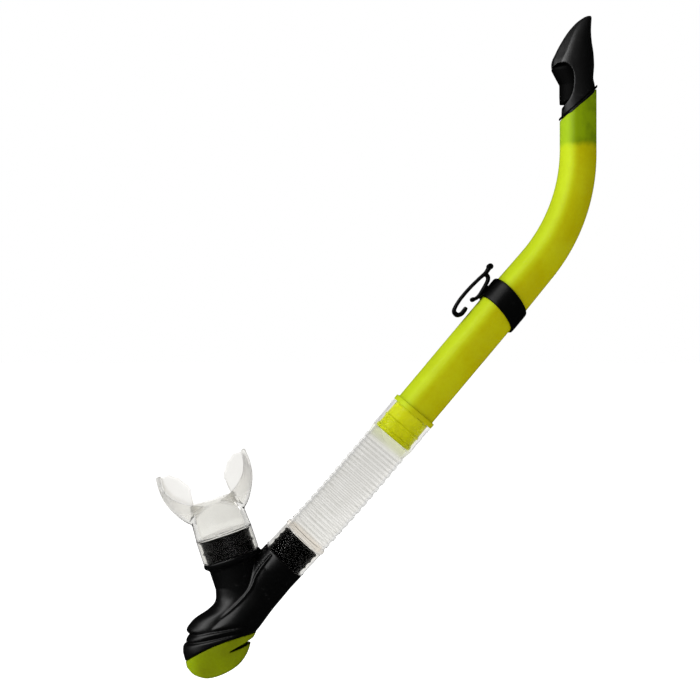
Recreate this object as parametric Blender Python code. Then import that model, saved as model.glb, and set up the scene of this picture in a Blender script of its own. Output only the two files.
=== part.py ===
"""Snorkel tube: splash guard, barrel, strap keeper, flexible hose, purge chamber and mouthpiece.

The model stands as it does in use, upper end upright, in the XZ plane, and is symmetric
about y = 0. The origin is on the barrel's axis, in the middle of the stretch that the strap
keeper grips. Dimensions below are millimetres; meshes are written in metres.
"""
import math

import bmesh
import bpy
import numpy as np
from mathutils import Matrix, Vector

MM = 0.001
GAP = 0.3                    # clearance kept between pieces that touch on the real object
AROUND = 28                  # facets round a tube
DEPTH = np.array([0.0, 1.0, 0.0])

# Barrel: straight stretch, bend, upright top
BARREL_TILT = math.radians(50.0)
BARREL_RADIUS = 12.15
BARREL_WALL = 1.8
BARREL_FOOT = -98.2          # lower end, measured along the axis from the origin
COLLAR_BASE = -80.3
COLLAR_TOP = -77.2
COLLAR_RADIUS = 13.6
SPIGOT_RADIUS = 11.4
SPIGOT_RIB_RADIUS = 12.0
SPIGOT_RIB = -89.5
BEND_START = 30.0
BEND_RADIUS = 101.0
TOP_RADIUS = 10.4            # in the plane of symmetry, at the upright top
TOP_DEPTH_RADIUS = 12.0
TOP_MIDDLE_Z = 114.4         # the slanted top cut, on the axis
TOP_SLOPE = math.tan(math.radians(41.5))

# Splash guard
STEM_FOOT_Z = 91.2
STEM_WALL = 1.2
COLLAR_PLATE = 1.5           # thickness of the slanted plate on the barrel's rim
HOOD_WALL = 1.6
HOOD_TIP_Z = 165.2

# Strap keeper
KEEPER_BORE = BARREL_RADIUS + GAP
KEEPER_WALL = 1.2
KEEPER_HALF_LENGTH = 6.5
CLIP_WIDTH = 11.0
ARM_HALF = 0.95
LIMB_HALF = 0.8

# Flexible hose
HOSE_TOP = COLLAR_BASE - GAP
HOSE_CUFF_END = -103.9
HOSE_BEND_START = -125.0
HOSE_CUFF_RIM = -172.0       # where the corrugated stretch meets the lower cuff
HOSE_BEND = math.radians(3.2)
HOSE_RIBS = 13
HOSE_CREST = 13.15
HOSE_VALLEY = 12.5
HOSE_BORE = 11.2
CUFF_RADIUS = 13.3
CUFF_BEAD = 13.65
CUFF_BORE = SPIGOT_RIB_RADIUS + GAP
LOWER_CUFF = 18.9

# Lower housing
PORT_SHOULDER = 13.6
PORT_LENGTH = 14.7
PORT_BORE = 9.6
NECK_RADIUS = 14.45
NECK_BORE = 10.8
NECK_FLANGE = 16.75
NECK_LENGTH = 14.3
NECK_LIP = 14.7
NECK_RIB = 15.4
NECK_SPIGOT = 12.8
NECK_TILT = math.radians(108.4)
NECK_FLANGE_CENTRE = np.array([-154.4, 0.0, -143.8])
HOUSING_WALL = 2.3
PARTING_RISE = 3.4           # the parting line rises this much at the front and back

# Purge valve
SEAT_LIFT = 5.0              # underside of the seat above the parting plane's middle
SEAT_THICK = 1.8
THROAT_HALF = 18.6           # the chamber's foot narrows to an oval throat that holds the seat
THROAT_DEPTH = 17.3
THROAT_LENGTH = 8.0
VALVE_RADIUS = 13.4
VALVE_TRAVEL = 2.0
COVER_DEPTH = 15.4
COVER_WALL = 1.8

# Mouthpiece, along the neck's axis from the flange's centre
MOUTH_CUFF = 16.5
MOUTH_CUFF_FOOT = 1.0 + GAP
BITE_HALF_HEIGHT = 11.0
BITE_SCOOP = ([0, 2, 4, 6, 8, 10, 13], [0.2, 1.7, 4.0, 7.0, 10.1, 11.4, 11.5])   # step from the tip, depth
BITE_THICK = 1.9
LUG_HALF_HEIGHT = 2.6


def along(angle):
    """Unit vector in the XZ plane, turned by an angle from +X."""
    return np.array([math.cos(angle), 0.0, math.sin(angle)])


def across(angle):
    """Unit vector square to along(angle), to its left."""
    return np.array([-math.sin(angle), 0.0, math.cos(angle)])


def barrel_axis(station):
    """Point and heading of the barrel's axis, a straight run, an arc and an upright run."""
    if station <= BEND_START:
        return station * along(BARREL_TILT), BARREL_TILT
    bend_angle = math.pi / 2 - BARREL_TILT
    turned = min((station - BEND_START) / BEND_RADIUS, bend_angle)
    centre = BEND_START * along(BARREL_TILT) + BEND_RADIUS * across(BARREL_TILT)
    heading = BARREL_TILT + turned
    point = centre - BEND_RADIUS * across(heading)
    beyond = station - BEND_START - BEND_RADIUS * turned
    return point + beyond * along(heading), heading


TOP_X = barrel_axis(1000.0)[0][0]    # the upright top stands over this x


def hose_axis(station):
    """Point and heading of the hose's axis, which carries the barrel's on with a slight bend."""
    start = HOSE_BEND_START * along(BARREL_TILT)
    if station >= HOSE_BEND_START:
        return station * along(BARREL_TILT), BARREL_TILT
    length = HOSE_BEND_START - HOSE_CUFF_RIM
    radius = length / HOSE_BEND
    turned = min((HOSE_BEND_START - station) / radius, HOSE_BEND)
    centre = start + radius * across(BARREL_TILT)
    heading = BARREL_TILT - turned
    point = centre - radius * across(heading)
    beyond = max(HOSE_CUFF_RIM - station, 0.0)
    return point - beyond * along(heading), heading


def oval(centre, heading, half_across, half_depth, count=AROUND, power=2.0):
    """One ring square to a heading: a superellipse with half axes across it and in depth."""
    turn = np.linspace(0.0, 2.0 * math.pi, count, endpoint=False)
    cosine = np.sign(np.cos(turn)) * np.abs(np.cos(turn)) ** (2.0 / power)
    sine = np.sign(np.sin(turn)) * np.abs(np.sin(turn)) ** (2.0 / power)
    side = (half_across * cosine)[:, None] * across(heading)
    return centre + side + (half_depth * sine)[:, None] * DEPTH


def upright_oval(left, right, half_depth, height, slope=0.0, power=2.0):
    """A ring round an upright space from x = left to right, on a plane that climbs with x."""
    centre = np.array([(left + right) / 2.0, 0.0, 0.0])
    ring = oval(centre, math.pi / 2, (right - left) / 2.0, half_depth, power=power)
    ring[:, 2] = height + slope * (ring[:, 0] - centre[0])
    return ring


def curve_through(points, count):
    """Smooth curve through a few points: Catmull-Rom pieces, evenly sampled in parameter."""
    knots = np.array(points, dtype=float)
    padded = np.vstack([2 * knots[0] - knots[1], knots, 2 * knots[-1] - knots[-2]])
    position = np.linspace(0.0, len(knots) - 1.000001, count)
    piece = position.astype(int)
    t = (position - piece)[:, None]
    a, b, c, d = (padded[piece + k] for k in range(4))
    return 0.5 * (2 * b + (c - a) * t + (2 * a - 5 * b + 4 * c - d) * t**2
                  + (3 * b - 3 * c + d - a) * t**3)


def skin(name, rings, wrap=False):
    """Closed mesh through rings of equal length; wrap joins last to first, else ends are capped."""
    rings = [np.asarray(ring, dtype=float) * MM for ring in rings]
    count = len(rings[0])
    bm = bmesh.new()
    rows = [[bm.verts.new(point) for point in ring] for ring in rings]
    pairs = list(zip(rows, rows[1:]))
    if wrap:
        pairs.append((rows[-1], rows[0]))
    else:
        bm.faces.new(rows[0][::-1])
        bm.faces.new(rows[-1])
    for lower, upper in pairs:
        for k in range(count):
            nxt = (k + 1) % count
            bm.faces.new((lower[k], lower[nxt], upper[nxt], upper[k]))
    bmesh.ops.recalc_face_normals(bm, faces=bm.faces)
    if bm.calc_volume(signed=True) < 0.0:
        bmesh.ops.reverse_faces(bm, faces=bm.faces)
    mesh = bpy.data.meshes.new(name)
    bm.to_mesh(mesh)
    bm.free()
    piece = bpy.data.objects.new(name, mesh)
    bpy.context.scene.collection.objects.link(piece)
    return piece


def turned(name, base, heading, profile, wrap=False, count=AROUND):
    """Body of revolution about an axis in the XZ plane, from (distance, radius) pairs."""
    rings = [oval(base + t * along(heading), heading, r, r, count) for t, r in profile]
    return skin(name, rings, wrap)


def strip(name, path, half_thick, width):
    """Flat bar of a given width in depth whose edge follows a path in the XZ plane."""
    step = np.gradient(path, axis=0)
    step /= np.linalg.norm(step, axis=1)[:, None]
    normal = np.stack([-step[:, 2], np.zeros(len(path)), step[:, 0]], axis=1)
    half = width / 2.0 * DEPTH
    offset = np.asarray(half_thick)[..., None] * normal
    corners = [path - offset - half, path + offset - half, path + offset + half, path - offset + half]
    return skin(name, list(np.stack(corners, axis=1)))


def slab(name, outline, half_depth):
    """Prism: an outline in the XZ plane, extended to both sides of y = 0."""
    flat = np.array([(x, 0.0, z) for x, z in outline])
    return skin(name, [flat - half_depth * DEPTH, flat + half_depth * DEPTH])


def combine(target, tool, operation):
    """Exact Boolean on a piece; the tool stays as a hidden guide."""
    modifier = target.modifiers.new(operation.title(), "BOOLEAN")
    modifier.operation = operation
    modifier.solver = "EXACT"
    modifier.object = tool
    tool.hide_render = True
    tool.display_type = "WIRE"


def join(target, tool):
    combine(target, tool, "UNION")


def cut(target, tool):
    combine(target, tool, "DIFFERENCE")


def finish(piece, colour, roughness, metallic=0.0, joint_point=None, carrier=None):
    """Material, smooth shading, and the origin on the joint's axis where the piece moves."""
    material = bpy.data.materials.new(piece.name)
    material.use_nodes = True
    shader = material.node_tree.nodes["Principled BSDF"]
    shader.inputs["Base Color"].default_value = (*colour, 1.0)
    shader.inputs["Roughness"].default_value = roughness
    shader.inputs["Metallic"].default_value = metallic
    piece.data.materials.append(material)
    piece.data.shade_smooth()
    piece.data.set_sharp_from_angle(angle=math.radians(35))
    if joint_point is not None:
        origin = Vector(joint_point) * MM
        piece.data.transform(Matrix.Translation(-origin))
        piece.location = origin
    if carrier is not None:
        bpy.context.view_layer.update()
        piece.parent = carrier
        piece.matrix_parent_inverse = carrier.matrix_world.inverted()


LIME = (0.45, 0.50, 0.01)
LIME_GREEN = (0.28, 0.42, 0.01)
BLACK = (0.006, 0.006, 0.007)
CLEAR = (0.72, 0.71, 0.66)


def barrel_tube():
    """Tapering oval tube with a ribbed spigot below, a collar, and a slanted cut at the top."""
    spigot = [
        (BARREL_FOOT, SPIGOT_RADIUS - 0.5),
        (BARREL_FOOT + 0.8, SPIGOT_RIB_RADIUS),
        (BARREL_FOOT + 2.2, SPIGOT_RIB_RADIUS),
        (BARREL_FOOT + 2.8, SPIGOT_RADIUS),
        (SPIGOT_RIB - 0.9, SPIGOT_RADIUS),
        (SPIGOT_RIB - 0.3, SPIGOT_RIB_RADIUS),
        (SPIGOT_RIB + 0.3, SPIGOT_RIB_RADIUS),
        (SPIGOT_RIB + 0.9, SPIGOT_RADIUS),
        (COLLAR_BASE, SPIGOT_RADIUS),
        (COLLAR_BASE, COLLAR_RADIUS - 0.4),
        (COLLAR_BASE + 0.6, COLLAR_RADIUS),
        (COLLAR_TOP - 0.6, COLLAR_RADIUS),
        (COLLAR_TOP, COLLAR_RADIUS - 0.4),
        (COLLAR_TOP, BARREL_RADIUS),
        (0.0, BARREL_RADIUS),
    ]
    bend_length = BEND_RADIUS * (math.pi / 2 - BARREL_TILT)
    bend_end = BEND_START + bend_length
    stations = np.concatenate([[12.0], np.linspace(BEND_START, bend_end, 9)])
    narrowing = np.interp(stations, [0.0, 12.0, BEND_START, bend_end], [0.0, 0.15, 0.35, 1.0])
    half_across = BARREL_RADIUS + (TOP_RADIUS - BARREL_RADIUS) * narrowing
    half_depth = BARREL_RADIUS + (TOP_DEPTH_RADIUS - BARREL_RADIUS) * narrowing
    outer = [oval(*barrel_axis(s), r, r) for s, r in spigot]
    outer += [oval(*barrel_axis(s), a, b) for s, a, b in zip(stations, half_across, half_depth)]
    bore_foot = SPIGOT_RADIUS - BARREL_WALL
    bore = [oval(*barrel_axis(s), r, r) for s, r in
            ((BARREL_FOOT, bore_foot), (COLLAR_BASE, bore_foot), (COLLAR_TOP, BARREL_RADIUS - BARREL_WALL))]
    bore += [oval(*barrel_axis(s), a - BARREL_WALL, b - BARREL_WALL)
             for s, a, b in zip(stations, half_across, half_depth)]
    left, right = TOP_X - TOP_RADIUS, TOP_X + TOP_RADIUS
    outer.append(upright_oval(left, right, TOP_DEPTH_RADIUS, TOP_MIDDLE_Z, TOP_SLOPE))
    bore.append(upright_oval(left + BARREL_WALL, right - BARREL_WALL, TOP_DEPTH_RADIUS - BARREL_WALL,
                             TOP_MIDDLE_Z, TOP_SLOPE))
    piece = skin("barrel_tube", outer + bore[::-1], wrap=True)
    finish(piece, LIME, 0.15)
    return piece


def splash_guard_base():
    """Stem inside the barrel, slanted plate on its rim, and a flared neck that ends under the hood."""
    stem_across = TOP_RADIUS - BARREL_WALL - GAP
    stem_depth = TOP_DEPTH_RADIUS - BARREL_WALL - GAP
    left, right = TOP_X - stem_across, TOP_X + stem_across
    plate_low = TOP_MIDDLE_Z + GAP
    plate_high = plate_low + COLLAR_PLATE
    rim = 0.5
    plate = (TOP_X - TOP_RADIUS - rim, TOP_X + TOP_RADIUS + rim, TOP_DEPTH_RADIUS + rim)
    neck_right = TOP_X + 6.2
    neck_depth = 8.9
    neck = [(36.2, plate_high, TOP_SLOPE), (36.2, 118.4, 0.64), (32.4, 118.5, 0.5), (32.2, 121.4, 0.3),
            (32.2, 125.4, 0.0), (30.0, 129.4, 0.0), (28.2, 132.8, 0.0), (28.2, 133.3, 0.0),
            (31.2, 134.6, 0.0), (31.8, 139.0, 0.0)]
    outer = [
        upright_oval(left, right, stem_depth, STEM_FOOT_Z),
        upright_oval(left, right, stem_depth, plate_low, TOP_SLOPE),
        upright_oval(*plate, plate_low, TOP_SLOPE),
        upright_oval(*plate, plate_high, TOP_SLOPE),
    ]
    outer += [upright_oval(x, neck_right, neck_depth, z, slope) for x, z, slope in neck]
    wall = STEM_WALL
    inner = [upright_oval(left + wall, right - wall, stem_depth - wall, STEM_FOOT_Z),
             upright_oval(left + wall, right - wall, stem_depth - wall, plate_low - 1.0, TOP_SLOPE)]
    inner += [upright_oval(x + wall, neck_right - wall, neck_depth - wall, z, slope)
              for x, z, slope in neck[1:]]
    piece = skin("splash_guard_base", outer + inner[::-1], wrap=True)
    finish(piece, BLACK, 0.4)


def splash_guard_hood():
    """Leaning hood, open towards -X below its overhang, that narrows to a tip."""
    foot_left, foot_right = 34.0, 52.6
    rest = TOP_MIDDLE_Z + COLLAR_PLATE + 2 * GAP
    rest += TOP_SLOPE * ((foot_left + foot_right) / 2.0 - TOP_X)
    levels = [   # left, right, half depth, height, slope
        (foot_left, foot_right, 12.2, rest, TOP_SLOPE),
        (31.6, 51.6, 12.3, 124.0, 0.55),
        (29.2, 51.9, 12.4, 131.0, 0.25),
        (27.6, 51.9, 12.2, 137.4, 0.0),
        (30.1, 51.6, 11.2, 144.0, 0.0),
        (33.3, 50.7, 9.8, 150.0, 0.0),
        (37.3, 50.2, 7.6, 156.0, 0.0),
        (41.6, 50.3, 5.2, 161.0, 0.0),
        (45.8, 50.6, 3.0, 164.0, 0.0),
        (48.2, 50.4, 1.2, HOOD_TIP_Z, 0.0),
    ]
    wall = HOOD_WALL
    outer = [upright_oval(*level) for level in levels]
    inner = [upright_oval(x0 + wall, x1 - wall, y - wall, z, slope) for x0, x1, y, z, slope in levels[:7]]
    piece = skin("splash_guard_hood", outer[::-1] + inner)
    arch = [(20.0, 134.1), (27.8, 134.1), (31.5, 137.1), (35.3, 136.5), (38.1, 133.6), (39.3, 129.3),
            (39.1, 123.2), (38.2, 119.4), (37.4, 113.3), (20.0, 113.3)]
    cut(piece, slab("hood_arch_cutter", arch, 20.0))
    finish(piece, BLACK, 0.3)


def strap_keeper():
    """Ring cut between two oblique planes, with a spring clip that holds the mask strap."""
    ring_radius = KEEPER_BORE + KEEPER_WALL
    sine_front = math.tan(math.radians(12.0))
    sine_left = math.tan(math.radians(9.4))

    def hoop(radius, side):
        ring = oval(np.zeros(3), BARREL_TILT, radius, radius)
        left = ring @ across(BARREL_TILT)
        shift = side * KEEPER_HALF_LENGTH + sine_left * left - sine_front * ring[:, 1]
        return ring + shift[:, None] * along(BARREL_TILT)

    hoops = [hoop(ring_radius, -1), hoop(ring_radius, 1), hoop(KEEPER_BORE, 1), hoop(KEEPER_BORE, -1)]
    piece = skin("strap_keeper", hoops, wrap=True)
    tab_points = [(-7.4, 22.2), (-9.7, 18.7), (-13.2, 15.6), (-16.2, 12.7)]
    hook_points = [(-22.9, 5.3), (-25.2, 2.3), (-27.1, -0.9), (-27.8, -3.4), (-26.2, -5.3), (-23.8, -4.8),
                   (-21.8, -2.5), (-21.0, -1.0)]
    limb_points = [(-10.9, 18.2), (-8.8, 16.9), (-8.5, 14.6), (-10.0, 11.4), (-11.9, 8.1), (-13.4, 5.8),
                   (-15.3, 4.1), (-17.2, 3.4)]
    tab, hook, limb = (
        curve_through([(x, 0.0, z) for x, z in points], count)
        for points, count in ((tab_points, 8), (hook_points, 17), (limb_points, 18))
    )
    arm = np.vstack([tab, hook])    # the long flat between them bears on the strap
    join(piece, strip("clip_limb", limb, np.full(len(limb), LIMB_HALF), CLIP_WIDTH - 0.6))
    join(piece, strip("clip_arm", arm, np.full(len(arm), ARM_HALF), CLIP_WIDTH))
    for name, end, radius in (("finger_bead", arm[0], 1.75), ("tail_bead", limb[-1], 1.35)):
        bead_width = CLIP_WIDTH / 2.0 + 0.2
        turn = np.linspace(0.0, 2.0 * math.pi, 14, endpoint=False)
        outline = np.stack([end[0] + radius * np.cos(turn), end[2] + radius * np.sin(turn)], axis=1)
        join(piece, slab(name, outline, bead_width))
    root = KEEPER_BORE + KEEPER_WALL / 2.0
    foot = [(root, -5.2), (root, -1.6), (root + 1.9, -1.0), (root + 1.9, -4.8)]
    outline = [n * across(BARREL_TILT) + s * along(BARREL_TILT) for n, s in foot]
    join(piece, slab("clip_root", [(p[0], p[2]) for p in outline], CLIP_WIDTH / 2.0 - 0.8))
    finish(piece, BLACK, 0.35, joint_point=(0.0, 0.0, 0.0))


def flex_hose():
    """Soft hose: smooth cuff over the barrel's spigot, thirteen ribs, and a cuff for the port."""
    pitch = (HOSE_CUFF_END - HOSE_CUFF_RIM) / HOSE_RIBS
    outer = [(HOSE_TOP, CUFF_BEAD - 0.2), (HOSE_TOP - 1.6, CUFF_BEAD), (HOSE_TOP - 3.4, CUFF_RADIUS),
             (SPIGOT_RIB + 2.2, CUFF_RADIUS), (SPIGOT_RIB, CUFF_BEAD), (SPIGOT_RIB - 2.2, CUFF_RADIUS),
             (BARREL_FOOT + 3.0, CUFF_RADIUS), (BARREL_FOOT + 0.8, CUFF_BEAD), (HOSE_CUFF_END, HOSE_VALLEY)]
    for rib in range(HOSE_RIBS):
        start = HOSE_CUFF_END - rib * pitch
        outer += [(start - 0.2 * pitch, HOSE_CREST), (start - 0.65 * pitch, HOSE_CREST),
                  (start - 0.9 * pitch, HOSE_VALLEY)]
    foot = HOSE_CUFF_RIM - LOWER_CUFF
    outer += [(HOSE_CUFF_RIM - 0.1, CUFF_BEAD), (HOSE_CUFF_RIM - 2.2, CUFF_BEAD),
              (HOSE_CUFF_RIM - 2.8, CUFF_RADIUS), (foot + 2.2, CUFF_RADIUS), (foot + 0.9, CUFF_BEAD),
              (foot, CUFF_BEAD)]
    port_top = foot + PORT_LENGTH + GAP + 0.4
    bends = np.linspace(HOSE_BEND_START, HOSE_CUFF_RIM, 5)
    bore = [(HOSE_TOP, CUFF_BORE), (BARREL_FOOT - GAP, CUFF_BORE), (BARREL_FOOT - GAP - 0.4, HOSE_BORE)]
    bore += [(s, HOSE_BORE) for s in bends]
    bore += [(port_top + 0.4, HOSE_BORE), (port_top, CUFF_BORE), (foot, CUFF_BORE)]
    rings = [oval(*hose_axis(s), r, r) for s, r in outer + bore[::-1]]
    finish(skin("flex_hose", rings, wrap=True), CLEAR, 0.25)


PORT_BASE, PORT_TILT = hose_axis(HOSE_CUFF_RIM - LOWER_CUFF - GAP)
HOSE_PIVOT, _ = hose_axis((HOSE_CUFF_END + HOSE_CUFF_RIM) / 2.0)

# The chamber's sections, from the parting plane up: left end, right end and half depth
CHAMBER = [
    ((-180.8, -202.0), (-140.6, -185.3), 20.0),
    ((-182.0, -196.0), (-139.1, -183.6), 20.2),
    ((-180.8, -189.5), (-135.7, -179.0), 20.0),
    ((-179.7, -183.7), (-132.2, -174.2), 19.4),
    ((-176.5, -179.0), (-128.6, -169.6), 18.4),
    ((-171.0, -174.8), (-125.2, -165.8), 17.0),
    ((-166.4, -170.8), (-121.7, -161.9), 15.4),
    ((-163.9, -166.0), (-118.9, -158.6), 14.0),
]
PARTING_LEFT = np.array([-180.8, 0.0, -202.0])
PARTING_RIGHT = np.array([-140.6, 0.0, -185.3])
PARTING_MIDDLE = (PARTING_LEFT + PARTING_RIGHT) / 2.0
PARTING_HALF = np.linalg.norm(PARTING_RIGHT - PARTING_LEFT) / 2.0
PARTING_DEPTH = 20.0
PURGE_TILT = math.atan2(PARTING_RIGHT[2] - PARTING_LEFT[2], PARTING_RIGHT[0] - PARTING_LEFT[0])
OUTFLOW = -across(PURGE_TILT)    # the way that water leaves the purge valve
BITE_ALONG = along(NECK_TILT)
BITE_RIGHT = -across(NECK_TILT)


def chamber_ring(left, right, half_depth, inset=0.0, power=2.3):
    """Section of the chamber between two points of its outline."""
    left = np.array([left[0], 0.0, left[1]])
    right = np.array([right[0], 0.0, right[1]])
    span = right - left
    heading = math.atan2(span[2], span[0]) + math.pi / 2
    half = np.linalg.norm(span) / 2.0 - inset
    return oval((left + right) / 2.0, heading, half, half_depth - inset, power=power)


def raised(ring, drop=0.0):
    """Bends a ring of the parting plane up at its front and back, and moves it down by drop."""
    rise = PARTING_RISE * (ring[:, 1] / PARTING_DEPTH) ** 2
    return ring - rise[:, None] * OUTFLOW + drop * OUTFLOW


def lower_housing():
    """Y-shaped chamber with a ribbed port for the hose, one for the mouthpiece, and an open foot."""
    outer = [raised(chamber_ring(*CHAMBER[0]))] + [chamber_ring(*section) for section in CHAMBER[1:]]
    piece = skin("lower_housing", outer)
    into = -30.0
    port = [(into, PORT_SHOULDER - 2.0), (into + 4.0, PORT_SHOULDER), (0.0, PORT_SHOULDER),
            (0.0, SPIGOT_RADIUS)]
    for rib in (4.2, 8.6):
        port += [(rib, SPIGOT_RADIUS), (rib + 0.5, SPIGOT_RIB_RADIUS), (rib + 1.2, SPIGOT_RIB_RADIUS),
                 (rib + 1.7, SPIGOT_RADIUS)]
    port += [(PORT_LENGTH - 1.6, SPIGOT_RADIUS), (PORT_LENGTH - 1.0, SPIGOT_RIB_RADIUS),
             (PORT_LENGTH - 0.3, SPIGOT_RIB_RADIUS), (PORT_LENGTH, SPIGOT_RADIUS)]
    neck = [(-24.0, NECK_RADIUS), (-3.2, NECK_RADIUS), (-1.3, NECK_FLANGE), (1.0, NECK_FLANGE),
            (1.0, NECK_SPIGOT), (6.2, NECK_SPIGOT), (6.5, NECK_RIB), (7.2, NECK_RIB), (7.5, NECK_SPIGOT),
            (NECK_LENGTH - 1.4, NECK_SPIGOT), (NECK_LENGTH - 1.1, NECK_LIP), (NECK_LENGTH, NECK_LIP)]
    join(piece, turned("hose_port", PORT_BASE, PORT_TILT, port))
    join(piece, turned("mouthpiece_port", NECK_FLANGE_CENTRE, NECK_TILT, neck))
    throat = [oval(PARTING_MIDDLE + drop * OUTFLOW, PURGE_TILT + math.pi / 2, THROAT_HALF, THROAT_DEPTH)
              for drop in (6.0, -THROAT_LENGTH)]
    roof = [(np.array(lower) + np.array(upper)) / 2.0 for lower, upper in zip(CHAMBER[6], CHAMBER[7])]
    hollow = [chamber_ring(*section, inset=HOUSING_WALL) for section in CHAMBER[3:7] + [roof]]
    cut(piece, skin("chamber_hollow", throat + hollow))
    bore = [(into + 4.0, PORT_BORE), (PORT_LENGTH + 3.0, PORT_BORE)]
    cut(piece, turned("hose_port_bore", PORT_BASE, PORT_TILT, bore))
    bore = [(-23.0, NECK_BORE), (NECK_LENGTH + 3.0, NECK_BORE)]
    cut(piece, turned("mouthpiece_port_bore", NECK_FLANGE_CENTRE, NECK_TILT, bore))
    finish(piece, BLACK, 0.35, joint_point=HOSE_PIVOT)
    return piece


def purge_valve_seat(housing):
    """Oval plate across the chamber's foot, with six ports round the hub that holds the valve."""
    heading = PURGE_TILT + math.pi / 2
    plate = [oval(SEAT_CENTRE - lift * OUTFLOW, heading, THROAT_HALF - GAP, THROAT_DEPTH - GAP)
             for lift in (0.0, SEAT_THICK)]
    piece = skin("purge_valve_seat", plate)
    for k in range(6):
        turn = (k + 0.5) * math.pi / 3.0
        spot = 8.4 * (math.cos(turn) * along(PURGE_TILT) + math.sin(turn) * DEPTH)
        cutter = turned(f"seat_port_{k}", SEAT_CENTRE + spot, heading, [(-2.0, 3.3), (5.0, 3.3)], count=14)
        cut(piece, cutter)
    cut(piece, turned("hub_hole", SEAT_CENTRE, heading, [(-2.0, 1.9), (5.0, 1.9)], count=14))
    finish(piece, BLACK, 0.45, carrier=housing)


SEAT_CENTRE = PARTING_MIDDLE - SEAT_LIFT * OUTFLOW


def purge_valve(housing):
    """Mushroom valve: a thin soft disc below the seat, and a stem with a bulb above it."""
    disc_top = -GAP
    above = SEAT_THICK + VALVE_TRAVEL + 2 * GAP
    profile = [(disc_top - 0.9, VALVE_RADIUS), (disc_top, VALVE_RADIUS + 0.1), (disc_top, 1.5), (above, 1.5),
               (above + 0.4, 2.5), (above + 1.6, 2.3), (above + 3.2, 0.8)]
    foot = [(disc_top - 1.7, 2.2), (disc_top - 1.5, 5.0)]
    piece = turned("purge_valve", SEAT_CENTRE, PURGE_TILT + math.pi / 2, foot + profile, count=24)
    finish(piece, CLEAR, 0.4, joint_point=SEAT_CENTRE, carrier=housing)


def purge_cover(housing):
    """Skewed dome that closes the chamber's foot, with a curved slit for water on its right."""
    levels = [(0.0, 0.0, 43.6, 20.0), (4.2, -0.5, 38.8, 19.2), (8.7, 1.2, 35.2, 17.2),
              (11.9, 4.2, 31.2, 14.4), (13.9, 7.4, 27.0, 11.0), (14.9, 11.3, 22.4, 6.8),
              (COVER_DEPTH, 15.2, 18.4, 2.0)]

    def level_ring(depth, left, right, half_depth, inset=0.0):
        middle = PARTING_LEFT + (left + right) / 2.0 * along(PURGE_TILT) + depth * OUTFLOW
        half = (right - left) / 2.0 - inset
        return oval(middle, PURGE_TILT + math.pi / 2, half, half_depth - inset, power=2.15)

    outer = [level_ring(*level) for level in levels]
    outer[0] = raised(outer[0], GAP)
    fade = (raised(outer[1]) - outer[1]) * 0.35
    outer[1] = outer[1] + fade
    inner = [level_ring(*level, inset=COVER_WALL) for level in levels[:5]]
    inner[0] = raised(inner[0], GAP)
    inner[1] = inner[1] + (raised(inner[1]) - inner[1]) * 0.35
    piece = skin("purge_cover", outer[::-1] + inner)
    slit = [(24.8, 3.3), (60.0, 2.9), (60.0, 8.5), (38.0, 5.5)]
    corners = [PARTING_LEFT + a * along(PURGE_TILT) + b * OUTFLOW for a, b in slit]
    cut(piece, slab("slit_cutter", [(p[0], p[2]) for p in corners], 24.0))
    finish(piece, LIME_GREEN, 0.2, carrier=housing)


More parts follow.
